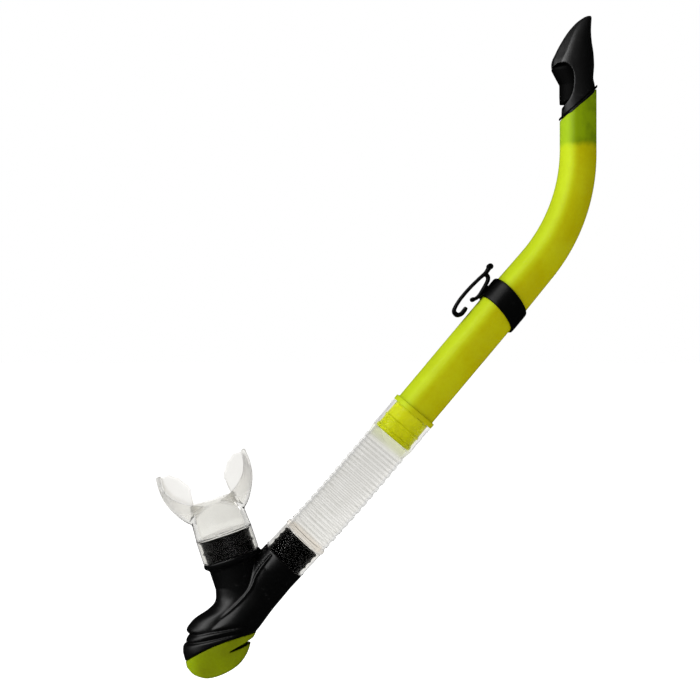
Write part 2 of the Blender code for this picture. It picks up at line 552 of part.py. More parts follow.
def mouthpiece(housing):
    """Soft cuff and oval duct that end in a scooped bite flange with two biting lugs."""
    def duct(name, sections):
        rings = [oval(NECK_FLANGE_CENTRE + t * BITE_ALONG, NECK_TILT, a, b) for t, a, b in sections]
        return skin(name, rings)

    body = [(MOUTH_CUFF_FOOT, 16.3, 16.3), (2.5, MOUTH_CUFF, MOUTH_CUFF), (15.0, MOUTH_CUFF, MOUTH_CUFF),
            (18.0, 16.1, 15.6), (21.7, 15.9, 14.2), (26.0, 15.6, 12.6), (31.0, 14.4, 11.2), (35.0, 13.3, 10.4)]
    piece = duct("mouthpiece", body)
    rim = [(0.0, 34.0), (6.5, 34.9), (12.0, 37.0), (17.0, 40.2), (21.2, 44.6), (23.6, 50.2), (24.4, 57.0)]
    rim = [(-q, p) for q, p in rim[:0:-1]] + rim
    path = curve_through([q * BITE_RIGHT + p * BITE_ALONG for q, p in rim], 27) + NECK_FLANGE_CENTRE
    step = np.gradient(path, axis=0)
    step /= np.linalg.norm(step, axis=1)[:, None]
    outward = np.stack([step[:, 2], np.zeros(len(path)), -step[:, 0]], axis=1)
    heights = np.linspace(-BITE_HALF_HEIGHT, BITE_HALF_HEIGHT, 7)
    ends = np.minimum(np.arange(len(path)), np.arange(len(path))[::-1])
    scoop = np.interp(ends, *BITE_SCOOP)
    bulge = 1.0 - (heights / BITE_HALF_HEIGHT) ** 2
    section = [(h, b, BITE_THICK) for h, b in zip(heights, bulge)]
    section += [(h, b, 0.0) for h, b in zip(heights[::-1], bulge[::-1])]
    taper = np.interp(ends, [0, 1, 2, 4], [0.55, 0.8, 0.93, 1.0])
    loops = np.stack([path + (b * scoop + d)[:, None] * outward + (h * taper)[:, None] * DEPTH
                      for h, b, d in section], axis=1)
    join(piece, skin("bite_flange", list(loops)))
    for side in (slice(1, 9), slice(-9, -1)):
        spine = path[side]
        reach = np.interp(ends[side], [1, 2, 4, 6, 8], [7.0, 9.2, 9.9, 9.4, 4.0])
        inner_edge = spine - reach[:, None] * outward[side]
        outer_edge = spine + (scoop[side] + BITE_THICK / 2.0)[:, None] * outward[side]
        rise = LUG_HALF_HEIGHT * DEPTH
        corners = [inner_edge - rise, outer_edge - rise, outer_edge + rise, inner_edge + rise]
        join(piece, skin("bite_lug", list(np.stack(corners, axis=1))))
    passage = [(-2.0, 13.1, 13.1), (6.1, 13.1, 13.1), (6.1, 15.7, 15.7), (7.6, 15.7, 15.7), (7.6, 13.1, 13.1),
               (12.7, 13.1, 13.1), (12.7, 15.0, 15.0), (14.6, 15.0, 15.0), (15.0, 13.4, 13.4),
               (20.0, 13.5, 12.4), (26.0, 12.9, 9.8), (31.0, 12.0, 8.4), (44.0, 11.0, 7.6)]
    cut(piece, duct("air_passage", passage))
    finish(piece, CLEAR, 0.3, joint_point=NECK_FLANGE_CENTRE, carrier=housing)


def main():
    for leftover in list(bpy.data.objects):
        bpy.data.objects.remove(leftover, do_unlink=True)
    barrel_tube()
    splash_guard_base()
    splash_guard_hood()
    strap_keeper()
    flex_hose()
    housing = lower_housing()
    purge_valve_seat(housing)
    purge_valve(housing)
    purge_cover(housing)
    mouthpiece(housing)


main()
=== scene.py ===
"""Snorkel tube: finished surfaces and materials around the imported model.

Lengths are millimetres in the working code and become metres when a mesh is written. The
object stands in the XZ plane and is symmetric about y = 0; the origin is on the barrel's axis,
in the middle of the stretch that the strap keeper grips.
"""
import math

import bpy
import numpy as np
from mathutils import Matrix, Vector


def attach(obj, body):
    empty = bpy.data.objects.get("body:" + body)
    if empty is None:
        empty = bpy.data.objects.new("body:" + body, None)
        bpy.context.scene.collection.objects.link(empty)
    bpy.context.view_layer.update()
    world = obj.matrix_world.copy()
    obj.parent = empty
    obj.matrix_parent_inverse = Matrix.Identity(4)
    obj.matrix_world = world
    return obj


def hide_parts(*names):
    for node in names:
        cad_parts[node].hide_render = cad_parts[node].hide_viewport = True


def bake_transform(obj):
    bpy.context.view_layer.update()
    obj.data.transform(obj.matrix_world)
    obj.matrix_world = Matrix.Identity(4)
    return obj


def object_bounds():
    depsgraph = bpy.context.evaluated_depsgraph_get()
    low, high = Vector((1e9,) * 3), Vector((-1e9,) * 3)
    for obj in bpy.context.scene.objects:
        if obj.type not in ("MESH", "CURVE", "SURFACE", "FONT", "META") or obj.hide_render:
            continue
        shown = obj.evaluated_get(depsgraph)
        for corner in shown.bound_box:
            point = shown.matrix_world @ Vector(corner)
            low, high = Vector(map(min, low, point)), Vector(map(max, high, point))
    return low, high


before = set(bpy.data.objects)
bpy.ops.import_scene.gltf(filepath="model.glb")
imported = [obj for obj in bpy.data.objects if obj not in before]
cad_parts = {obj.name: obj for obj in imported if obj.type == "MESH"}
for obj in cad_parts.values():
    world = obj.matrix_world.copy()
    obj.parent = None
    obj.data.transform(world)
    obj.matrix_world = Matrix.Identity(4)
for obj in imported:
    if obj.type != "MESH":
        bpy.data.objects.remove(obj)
cad_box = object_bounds()

MM = 0.001
DEPTH = np.array([0.0, 1.0, 0.0])

# Barrel
BARREL_TILT = math.radians(50.0)
BARREL_RADIUS = 12.15
BARREL_WALL = 1.8
BARREL_FOOT = -98.2
COLLAR_BASE = -80.3
COLLAR_TOP = -77.2
COLLAR_RADIUS = 13.6
SPIGOT_RADIUS = 11.4
SPIGOT_RIB_RADIUS = 12.0
SPIGOT_RIB = -89.5
BEND_START = 30.0
BEND_RADIUS = 101.0
TOP_RADIUS = 10.4
TOP_DEPTH_RADIUS = 12.0
TOP_MIDDLE_Z = 114.4
TOP_SLOPE = math.tan(math.radians(41.5))
STEM_FOOT_Z = 91.2
STEM_FADE = 2.6

# Hose
GAP = 0.3
HOSE_TOP = COLLAR_BASE - GAP
HOSE_CUFF_END = -103.9
HOSE_BEND_START = -125.0
HOSE_CUFF_RIM = -172.0
HOSE_BEND = math.radians(3.2)
HOSE_RIBS = 13
HOSE_CREST = 13.15
HOSE_VALLEY = 12.5
HOSE_BORE = 11.2
CUFF_RADIUS = 13.3
CUFF_BEAD = 13.65
CUFF_BORE = SPIGOT_RIB_RADIUS + GAP
LOWER_CUFF = 18.9

# Housing and mouthpiece
PORT_LENGTH = 14.7
PORT_SHOULDER = 13.6
NECK_TILT = math.radians(108.4)
NECK_FLANGE_CENTRE = np.array([-154.4, 0.0, -143.8])
NECK_RADIUS = 14.45
NECK_LENGTH = 14.3
PARTING_LEFT = np.array([-180.8, 0.0, -202.0])
PARTING_RIGHT = np.array([-140.6, 0.0, -185.3])
PARTING_RISE = 3.4
PARTING_DEPTH = 20.0


def along(angle):
    """Unit vectors in the XZ plane, turned by an angle from +X."""
    angle = np.asarray(angle, dtype=float)
    return np.stack([np.cos(angle), 0.0 * angle, np.sin(angle)], axis=-1)


def across(angle):
    """Unit vectors square to along(angle), to its left."""
    angle = np.asarray(angle, dtype=float)
    return np.stack([-np.sin(angle), 0.0 * angle, np.cos(angle)], axis=-1)


def unit(vectors):
    """Vectors of length one."""
    return vectors / np.linalg.norm(vectors, axis=-1, keepdims=True)


def full_turn(count):
    """Evenly spaced angles round a circle."""
    return np.linspace(0.0, 2.0 * math.pi, count, endpoint=False)


def superellipse(count, power):
    """Cosine and sine of a full turn, each raised to 2 / power with its sign kept."""
    turn = full_turn(count)
    return [np.sign(wave) * np.abs(wave) ** (2.0 / power) for wave in (np.cos(turn), np.sin(turn))]


def flat(pairs):
    """Points (x, 0, z) from pairs (x, z)."""
    return np.array([(x, 0.0, z) for x, z in pairs])


def ramp(value, start, end):
    """Smooth step: 0 before start, 1 after end, 3t^2 - 2t^3 between."""
    t = np.clip((np.asarray(value, dtype=float) - start) / (end - start), 0.0, 1.0)
    return t * t * (3.0 - 2.0 * t)


def barrel_axis(station):
    """Points and headings of the barrel's axis: a straight run, an arc, an upright run."""
    station = np.asarray(station, dtype=float)
    bend = math.pi / 2 - BARREL_TILT
    turned = np.clip((station - BEND_START) / BEND_RADIUS, 0.0, bend)
    heading = BARREL_TILT + turned
    centre = BEND_START * along(BARREL_TILT) + BEND_RADIUS * across(BARREL_TILT)
    arc = centre - BEND_RADIUS * across(heading)
    before = np.minimum(station - BEND_START, 0.0)
    after = np.maximum(station - BEND_START - BEND_RADIUS * bend, 0.0)
    return arc + (before + after)[..., None] * along(heading), heading


def hose_axis(station):
    """Points and headings of the hose's axis, which carries the barrel's on with a slight bend."""
    station = np.asarray(station, dtype=float)
    length = HOSE_BEND_START - HOSE_CUFF_RIM
    radius = length / HOSE_BEND
    turned = np.clip((HOSE_BEND_START - station) / radius, 0.0, HOSE_BEND)
    heading = BARREL_TILT - turned
    centre = HOSE_BEND_START * along(BARREL_TILT) + radius * across(BARREL_TILT)
    arc = centre - radius * across(heading)
    before = np.maximum(station - HOSE_BEND_START, 0.0)
    after = np.maximum(HOSE_CUFF_RIM - station, 0.0)
    return arc + (before - after)[..., None] * along(heading), heading


PORT_BASE, PORT_TILT = hose_axis(HOSE_CUFF_RIM - LOWER_CUFF - GAP)
PORT_TILT = float(PORT_TILT)
BITE_ALONG = along(NECK_TILT)
BITE_RIGHT = -across(NECK_TILT)
PURGE_SPAN = PARTING_RIGHT - PARTING_LEFT
PURGE_TILT = math.atan2(PURGE_SPAN[2], PURGE_SPAN[0])
OUTFLOW = -across(PURGE_TILT)
TOP_X = float(barrel_axis(1000.0)[0][0])


def curve_through(points, count):
    """Smooth curve through a few points: Catmull-Rom pieces, evenly sampled in parameter."""
    knots = np.array(points, dtype=float)
    padded = np.vstack([2 * knots[0] - knots[1], knots, 2 * knots[-1] - knots[-2]])
    position = np.linspace(0.0, len(knots) - 1.000001, count)
    piece = position.astype(int)
    t = (position - piece)[:, None]
    a, b, c, d = (padded[piece + k] for k in range(4))
    return 0.5 * (2 * b + (c - a) * t + (2 * a - 5 * b + 4 * c - d) * t**2
                  + (3 * b - 3 * c + d - a) * t**3)


def filleted(corners, radius, steps=4):
    """Polyline with each inner corner rounded: a quadratic arc between points on its two sides."""
    corners = np.array(corners, dtype=float)
    out = [corners[:1]]
    t = np.linspace(0.0, 1.0, steps + 1)[:, None]
    for before, corner, after in zip(corners, corners[1:], corners[2:]):
        back, ahead = before - corner, after - corner
        reach_back = min(radius, 0.45 * np.linalg.norm(back))
        reach_ahead = min(radius, 0.45 * np.linalg.norm(ahead))
        start = corner + unit(back) * reach_back
        end = corner + unit(ahead) * reach_ahead
        out.append((1 - t)**2 * start + 2 * t * (1 - t) * corner + t**2 * end)
    out.append(corners[-1:])
    return np.vstack(out)


def oval_rings(centre, heading, half_across, half_depth, count, power=2.0):
    """Rings square to their headings: superellipses with half axes across them and in depth."""
    cosine, sine = superellipse(count, power)
    centre, heading = np.atleast_2d(centre), np.atleast_1d(heading)
    half_across, half_depth = np.atleast_1d(half_across), np.atleast_1d(half_depth)
    side = across(heading)[:, None, :] * (half_across[:, None] * cosine)[..., None]
    return centre[:, None, :] + side + (half_depth[:, None] * sine)[..., None] * DEPTH


def standing(name, data):
    """A new object with this data, linked to the scene."""
    made = bpy.data.objects.new(name, data)
    bpy.context.scene.collection.objects.link(made)
    return made


def solid(name, rings, wrap=False):
    """Closed mesh through a grid of rings: wrapped last to first, or capped by a fan at each end.

    Face (r, c) joins grid points (r, c), (r, c+1), (r+1, c+1), (r+1, c), with c taken modulo
    the ring's length. The signed volume, a sixth of the sum of a . (b x c), sets the winding.
    UV is (share of the way round, share of the rows).
    """
    rows, columns = rings.shape[:2]
    spans = rows if wrap else rows - 1
    r, c = np.meshgrid(np.arange(spans), np.arange(columns), indexing="ij")
    nxt_r, nxt_c = (r + 1) % rows, (c + 1) % columns
    quads = np.stack([r * columns + c, r * columns + nxt_c, nxt_r * columns + nxt_c,
                      nxt_r * columns + c], axis=-1).reshape(-1, 4)
    corner_r = np.stack([r, r, r + 1, r + 1], axis=-1).reshape(-1)
    corner_c = np.stack([c, c + 1, c + 1, c], axis=-1).reshape(-1)
    uv = np.stack([corner_c / columns, corner_r / spans], axis=-1)
    points = rings.reshape(-1, 3) * MM
    faces = quads.tolist()
    if not wrap:
        first = np.arange(columns)
        last = first + (rows - 1) * columns
        points = np.vstack([points, rings[0].mean(axis=0) * MM, rings[-1].mean(axis=0) * MM])
        low, high = rows * columns, rows * columns + 1
        faces += np.stack([np.roll(first, -1), first, np.full(columns, low)], axis=-1).tolist()
        faces += np.stack([last, np.roll(last, -1), np.full(columns, high)], axis=-1).tolist()
        for end, order in ((0.0, (1, 0, 0.5)), (1.0, (0, 1, 0.5))):
            fan = ((first[:, None] + np.array(order)) / columns).reshape(-1)
            uv = np.vstack([uv, np.stack([fan, np.full(3 * columns, end)], axis=-1)])
    a, b, c, d = (points[quads[:, k]] - points.mean(axis=0) for k in range(4))
    volume = np.sum(np.cross(a, b) * c) + np.sum(np.cross(a, c) * d)
    mesh = bpy.data.meshes.new(name)
    mesh.from_pydata(points.tolist(), [], faces)
    layer = mesh.uv_layers.new(name="Surface")
    layer.data.foreach_set("uv", uv.astype(np.float32).ravel())
    if volume < 0.0:
        mesh.flip_normals()
    mesh.update()
    return standing(name, mesh)


def toned(piece, rows, columns):
    """Point colours of a grid mesh: one colour per row, the same all the way round."""
    layer = piece.data.attributes.new("tone", "FLOAT_COLOR", "POINT")
    colours = np.concatenate([rows, np.ones((len(rows), 1))], axis=1)
    layer.data.foreach_set("color", np.repeat(colours, columns, axis=0).astype(np.float32).ravel())
    return piece


def turned(name, base, heading, profile, count=72, wrap=False):
    """Body of revolution: (distance, radius) pairs carried round an axis in the XZ plane."""
    profile = np.array(profile, dtype=float)
    centres = np.asarray(base) + profile[:, :1] * along(heading)
    rings = oval_rings(centres, np.full(len(profile), heading), profile[:, 1], profile[:, 1], count)
    return solid(name, rings, wrap)


def prism(name, outline, half_depth):
    """An outline in the XZ plane, extended to both sides of y = 0."""
    levels = np.array([-half_depth, half_depth])
    return solid(name, outline[None, :, :] + levels[:, None, None] * DEPTH)


def rod(name, path, half_thick, half_width, power=4.0, count=24):
    """Bar carried along a path in the XZ plane: a superellipse section, half_thick by half_width.

    The section stands square to the path's tangent, which is its central difference.
    """
    step = unit(np.gradient(path, axis=0))
    heading = np.arctan2(step[:, 2], step[:, 0])
    half_thick = np.broadcast_to(half_thick, len(path))
    half_width = np.broadcast_to(half_width, len(path))
    return solid(name, oval_rings(path, heading, half_thick, half_width, count, power))


def moulded(name, solids, cutters, voxel, rounds):
    """One moulding from closed surfaces: union, cuts, then a voxel skin, smoothed in rounds."""
    target = solids[0]
    for tools, operation in ((solids[1:], "UNION"), (cutters, "DIFFERENCE")):
        for tool in tools:
            modifier = target.modifiers.new(operation.title(), "BOOLEAN")
            modifier.operation = operation
            modifier.solver = "MANIFOLD"
            modifier.object = tool
    skin = target.modifiers.new("Skin", "REMESH")
    skin.mode = "VOXEL"
    skin.voxel_size = voxel * MM
    skin.use_smooth_shade = True
    relax = target.modifiers.new("Relax", "SMOOTH")
    relax.factor = 0.5
    relax.iterations = rounds
    bpy.context.view_layer.update()
    evaluated = target.evaluated_get(bpy.context.evaluated_depsgraph_get())
    mesh = bpy.data.meshes.new_from_object(evaluated)
    mesh.name = name
    for used in solids + cutters:
        bpy.data.objects.remove(used, do_unlink=True)
    return standing(name, mesh)


def dress(piece, material, node, body, crease=40.0):
    """Smooth shading, material, body, replaced CAD node and finish slot of one piece."""
    piece.data.materials.clear()
    piece.data.materials.append(material)
    piece.data.shade_smooth()
    if crease is not None:
        piece.data.set_sharp_from_angle(angle=math.radians(crease))
    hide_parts(node)
    if body is not None:
        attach(piece, body)
    return piece


# ---------------------------------------------------------------- materials

def link(tree, source, target):
    tree.links.new(source, target)


def add(tree, kind, **settings):
    node = tree.nodes.new(kind)
    for key, value in settings.items():
        setattr(node, key, value)
    return node


def set_inputs(node, **values):
    """Constants on a node's own sockets; an underscore in a key stands for a space."""
    for name, value in values.items():
        node.inputs[name.replace("_", " ")].default_value = value
    return node


def object_place(tree):
    return add(tree, "ShaderNodeTexCoord").outputs["Object"]


def axes_of(tree, vector):
    """The X, Y and Z outputs of a vector."""
    node = add(tree, "ShaderNodeSeparateXYZ")
    link(tree, vector, node.inputs["Vector"])
    return node.outputs


def way_round(tree):
    """UV X: the share of the way round a swept piece."""
    return axes_of(tree, add(tree, "ShaderNodeUVMap", uv_map="Surface").outputs["UV"])["X"]


def reach_along(tree, place, direction):
    """Distance of a place along a direction."""
    node = add(tree, "ShaderNodeVectorMath", operation="DOT_PRODUCT")
    link(tree, place, node.inputs[0])
    node.inputs[1].default_value = tuple(direction)
    return node.outputs["Value"]


def seen_edge_on(tree, to_high):
    """A share that rises to to_high where the surface is seen edge on."""
    facing = set_inputs(add(tree, "ShaderNodeLayerWeight"), Blend=0.35)
    return spread(tree, facing.outputs["Facing"], 0.3, 1.0, 0.0, to_high)


def noise(tree, coordinates, scale, detail=3.0):
    """Noise; scale is features per unit of its coordinates."""
    node = add(tree, "ShaderNodeTexNoise")
    set_inputs(node, Scale=scale, Detail=detail, Roughness=0.55)
    link(tree, coordinates, node.inputs["Vector"])
    return node.outputs["Fac"]


def spread(tree, value, low, high, to_low=0.0, to_high=1.0):
    """Map a value's range to another, smoothly and clamped."""
    node = add(tree, "ShaderNodeMapRange", interpolation_type="SMOOTHSTEP")
    set_inputs(node, From_Min=low, From_Max=high, To_Min=to_low, To_Max=to_high)
    link(tree, value, node.inputs["Value"])
    return node.outputs["Result"]


def sum_of(tree, first, second, operation="ADD"):
    """Math node on two terms, each a socket or a number."""
    node = add(tree, "ShaderNodeMath", operation=operation)
    for k, term in enumerate((first, second)):
        if isinstance(term, (int, float)):
            node.inputs[k].default_value = term
        else:
            link(tree, term, node.inputs[k])
    return node.outputs["Value"]


def mixed(tree, factor, first, second, blend_type="MIX"):
    """Colour mix; colours are sockets or linear triples."""
    node = add(tree, "ShaderNodeMix", data_type="RGBA", blend_type=blend_type)
    for name, colour in (("A_Color", first), ("B_Color", second)):
        target = next(s for s in node.inputs if s.identifier == name)
        if isinstance(colour, tuple):
            target.default_value = (*colour, 1.0)
        else:
            link(tree, colour, target)
    target = next(s for s in node.inputs if s.identifier == "Factor_Float")
    if isinstance(factor, float):
        target.default_value = factor
    else:
        link(tree, factor, target)
    return next(s for s in node.outputs if s.identifier == "Result_Color")


def started_group(name, values, results):
    """A node group with inputs of these values, its input and output nodes, and a place."""
    group = bpy.data.node_groups.new(name, "ShaderNodeTree")
    for key, value in values.items():
        kind = "NodeSocketColor" if isinstance(value, tuple) else "NodeSocketFloat"
        made = group.interface.new_socket(name=key, in_out="INPUT", socket_type=kind)
        made.default_value = value
    for key, kind in results.items():
        group.interface.new_socket(name=key, in_out="OUTPUT", socket_type="NodeSocket" + kind)
    given = add(group, "NodeGroupInput").outputs
    return group, given, add(group, "NodeGroupOutput").inputs, object_place(group)


def moulding_grain_group():
    """Fine moulded plastic: a height for bump, and a roughness that drifts in soft smudges."""
    group, given, end, place = started_group(
        "moulding grain", {"Roughness": 0.3, "Smudge": 0.08, "Grain Scale": 4000.0},
        {"Roughness": "Float", "Height": "Float"})
    smudge = spread(group, noise(group, place, 55.0, 4.0), 0.35, 0.7, -0.5, 0.5)
    fine = noise(group, place, 4000.0, 2.0)
    link(group, given["Grain Scale"], fine.node.inputs["Scale"])
    shift = sum_of(group, smudge, given["Smudge"], "MULTIPLY")
    link(group, sum_of(group, given["Roughness"], shift), end["Roughness"])
    waves = sum_of(group, noise(group, place, 160.0, 2.0), 0.6, "MULTIPLY")
    link(group, sum_of(group, fine, waves), end["Height"])
    return group


def fine_scratches_group():
    """Hairline scratches in two directions: a mask, from stretched noise cut to thin bands."""
    group, given, end, place = started_group("fine scratches", {"Amount": 0.5}, {"Mask": "Float"})
    total = None
    for turn in (0.9, -0.5):
        mapping = set_inputs(add(group, "ShaderNodeMapping"), Rotation=(0.2, turn, 0.3),
                             Scale=(40.0, 900.0, 1500.0))
        link(group, place, mapping.inputs["Vector"])
        band = spread(group, noise(group, mapping.outputs["Vector"], 1.0, 2.0), 0.66, 0.72)
        total = band if total is None else sum_of(group, total, band, "MAXIMUM")
    gate = spread(group, noise(group, place, 90.0, 2.0), 0.45, 0.65)
    worn = sum_of(group, total, gate, "MULTIPLY")
    link(group, sum_of(group, worn, given["Amount"], "MULTIPLY"), end["Mask"])
    return group


def cloudy_lit_and_shaded_tint_group():
    """Tinted translucent plastic with painted light and shade: a lit tint and a shaded tint mixed
    by a given share, which drifts a little in soft clouds and fine flecks.
    """
    group, given, end, place = started_group(
        "cloudy lit and shaded tint", {"Lit": (0.6, 0.7, 0.03, 1.0), "Deep": (0.3, 0.3, 0.003, 1.0), "Depth": 0.5},
        {"Color": "Color"})
    cloud = spread(group, noise(group, place, 45.0, 3.0), 0.3, 0.7, -0.09, 0.09)
    fleck = spread(group, noise(group, place, 700.0, 2.0), 0.3, 0.75, -0.03, 0.03)
    factor = sum_of(group, sum_of(group, given["Depth"], cloud), fleck)
    link(group, mixed(group, factor, given["Lit"], given["Deep"]), end["Color"])
    return group


def frosting_group():
    """Clear silicone: haze in soft patches and a pebbled height."""
    group, given, end, place = started_group(
        "silicone frosting", {"Pebble Scale": 900.0}, {"Haze": "Float", "Height": "Float"})
    pebble = set_inputs(add(group, "ShaderNodeTexVoronoi", feature="SMOOTH_F1"), Smoothness=0.6)
    link(group, place, pebble.inputs["Vector"])
    link(group, given["Pebble Scale"], pebble.inputs["Scale"])
    link(group, spread(group, noise(group, place, 120.0, 4.0), 0.3, 0.7), end["Haze"])
    link(group, pebble.outputs["Distance"], end["Height"])
    return group


GRAIN = moulding_grain_group()
SCRATCHES = fine_scratches_group()
TINT = cloudy_lit_and_shaded_tint_group()
FROST = frosting_group()


def placed(tree, group, **values):
    """A node group in a material, with its own input values."""
    return set_inputs(add(tree, "ShaderNodeGroup", node_tree=group), **values)


def plain_shader(name):
    material = bpy.data.materials.new(name)
    material.use_nodes = True
    tree = material.node_tree
    return material, tree, tree.nodes["Principled BSDF"]


def bump(tree, height, distance, strength, shader):
    node = set_inputs(add(tree, "ShaderNodeBump"), Distance=distance, Strength=strength)
    link(tree, height, node.inputs["Height"])
    link(tree, node.outputs["Normal"], shader.inputs["Normal"])


def black_plastic(name, roughness, smudge, grain, colour, specular):
    """Moulded black plastic with soft smudges, fine grain and hairline scratches."""
    material, tree, shader = plain_shader(name)
    grain_node = placed(tree, GRAIN, Roughness=roughness, Smudge=smudge, Grain_Scale=grain)
    worn = placed(tree, SCRATCHES, Amount=0.5).outputs["Mask"]
    dust = spread(tree, noise(tree, object_place(tree), 30.0, 5.0), 0.4, 0.75, 0.0, 0.5)
    base = mixed(tree, dust, colour, tuple(2.2 * c for c in colour))
    link(tree, mixed(tree, worn, base, (0.03, 0.03, 0.03)), shader.inputs["Base Color"])
    rough = sum_of(tree, grain_node.outputs["Roughness"], sum_of(tree, worn, 0.25, "MULTIPLY"))
    link(tree, rough, shader.inputs["Roughness"])
    shader.inputs["Specular IOR Level"].default_value = specular
    bump(tree, grain_node.outputs["Height"], 0.00004, 0.35, shader)
    return material


def tinted_plastic(name, lit, shaded_tint, depth, roughness):
    """Glossy translucent tinted plastic with painted light and shade; the first tint is the lit
    one, the second the shaded one, and depth is a function that gives the share of the shaded tint.
    """
    material, tree, shader = plain_shader(name)
    tint = placed(tree, TINT, Lit=(*lit, 1.0), Deep=(*shaded_tint, 1.0))
    link(tree, depth(tree), tint.inputs["Depth"])
    grain_node = placed(tree, GRAIN, Roughness=roughness, Smudge=0.1, Grain_Scale=1500.0)
    worn = placed(tree, SCRATCHES, Amount=0.35).outputs["Mask"]
    rough = sum_of(tree, grain_node.outputs["Roughness"], sum_of(tree, worn, 0.3, "MULTIPLY"))
    link(tree, rough, shader.inputs["Roughness"])
    shader.inputs["Specular IOR Level"].default_value = 0.045
    bump(tree, grain_node.outputs["Height"], 0.00003, 0.25, shader)
    return material, tree, shader, tint.outputs["Color"]


def lime_barrel():
    """Barrel: lime with painted light in a band on its left and painted amber shade round the rest,
    and the dark stem showing through near the top.
    """
    # The share of the shaded tint round the barrel: painted light in a band on the left, painted
    # amber shade elsewhere.
    def depth(tree):
        turned = way_round(tree)
        front = spread(tree, turned, 0.752, 0.86)
        back = spread(tree, turned, 0.06, 0.22, 1.0, 0.0)
        shade_share = spread(tree, turned, 0.5, 0.76, 1.0, 0.9)
        lit = sum_of(tree, front, back, "MAXIMUM")
        return sum_of(tree, shade_share, sum_of(tree, lit, 0.85, "MULTIPLY"), "SUBTRACT")

    material, tree, shader, colour = tinted_plastic(
        "lime barrel", (0.47, 0.585, 0.014), (0.30, 0.275, 0.0005), depth, 0.16)
    place = object_place(tree)
    wobble = spread(tree, noise(tree, place, 130.0, 3.0), 0.3, 0.7, -0.0008, 0.0008)
    height = sum_of(tree, axes_of(tree, place)["Z"], wobble)
    stem = spread(tree, height, (STEM_FOOT_Z - STEM_FADE) * MM, (STEM_FOOT_Z + STEM_FADE) * MM)
    turned = way_round(tree)
    # Over the stem: painted light in the same band on the left, painted shade in two greens that
    # drift in patches elsewhere.
    bright = sum_of(tree, spread(tree, turned, 0.77, 0.88),
                    spread(tree, turned, 0.05, 0.2, 1.0, 0.0), "MAXIMUM")
    patch = spread(tree, noise(tree, place, 75.0, 3.0), 0.42, 0.62)
    shade = mixed(tree, patch, (0.14, 0.21, 0.002), (0.10, 0.155, 0.002))
    green = mixed(tree, bright, shade, (0.31, 0.465, 0.013))
    speck = spread(tree, noise(tree, place, 520.0, 2.0), 0.70, 0.76, 0.0, 0.55)
    green = mixed(tree, speck, green, (0.05, 0.08, 0.01))
    station = reach_along(tree, place, along(BARREL_TILT))
    spigot = spread(tree, station, (COLLAR_BASE - 1.0) * MM, COLLAR_BASE * MM, 0.75, 0.0)
    colour = mixed(tree, spigot, colour, (0.50, 0.52, 0.005))
    link(tree, mixed(tree, stem, colour, green), shader.inputs["Base Color"])
    return material


def lime_cover():
    """Purge cover: greener, with painted light on its left and painted shade, a dark olive, on its
    right.
    """
    # The share of the shaded tint, rising from left to right: painted light on the left, painted
    # shade on the right.
    def depth(tree):
        return spread(tree, axes_of(tree, object_place(tree))["X"], -0.187, -0.166)

    material, tree, shader, colour = tinted_plastic(
        "lime purge cover", (0.27, 0.385, 0.002), (0.112, 0.135, 0.001), depth, 0.2)
    link(tree, colour, shader.inputs["Base Color"])
    return material


def clear_silicone(name, tint, edge, roughness, pebble, bump_strength, ior, toned_rows=False):
    """Clear silicone: warm tint, darker where it is seen edge on, soft haze and a pebbled surface.

    tint and roughness are pairs, for the least and the most hazy patches.
    """
    material, tree, shader = plain_shader(name)
    frost = placed(tree, FROST, Pebble_Scale=pebble)
    base = mixed(tree, frost.outputs["Haze"], *tint)
    if toned_rows:
        tone = add(tree, "ShaderNodeAttribute", attribute_name="tone").outputs["Color"]
        base = mixed(tree, 1.0, base, tone, "MULTIPLY")
    link(tree, mixed(tree, seen_edge_on(tree, 0.7), base, edge), shader.inputs["Base Color"])
    rough = spread(tree, frost.outputs["Haze"], 0.0, 1.0, *roughness)
    link(tree, rough, shader.inputs["Roughness"])
    set_inputs(shader, Transmission_Weight=1.0, IOR=ior)
    bump(tree, frost.outputs["Height"], 0.0001, bump_strength, shader)
    return material


def frosted_mouthpiece(name, cuff, flange, edge):
    """Silicone that is clear over the chamber's port and frosted from the duct's end outwards."""
    material, tree, shader = plain_shader(name)
    foot = float(NECK_FLANGE_CENTRE @ BITE_ALONG) * MM
    reach = reach_along(tree, object_place(tree), BITE_ALONG)
    frosted = spread(tree, reach, foot + 0.024, foot + 0.042)
    frost = placed(tree, FROST, Pebble_Scale=1200.0)
    haze = sum_of(tree, frost.outputs["Haze"], 0.06, "MULTIPLY")
    rim = sum_of(tree, seen_edge_on(tree, 0.6), haze)
    base = mixed(tree, rim, mixed(tree, frosted, cuff, flange), edge)
    link(tree, base, shader.inputs["Base Color"])
    rough = sum_of(tree, spread(tree, frosted, 0.0, 1.0, 0.1, 0.42), haze)
    link(tree, rough, shader.inputs["Roughness"])
    set_inputs(shader, Transmission_Weight=1.0, IOR=1.16)
    pebbled = sum_of(tree, frost.outputs["Height"], frosted, "MULTIPLY")
    bump(tree, pebbled, 0.0001, 0.03, shader)
    return material


# ---------------------------------------------------------------- pieces

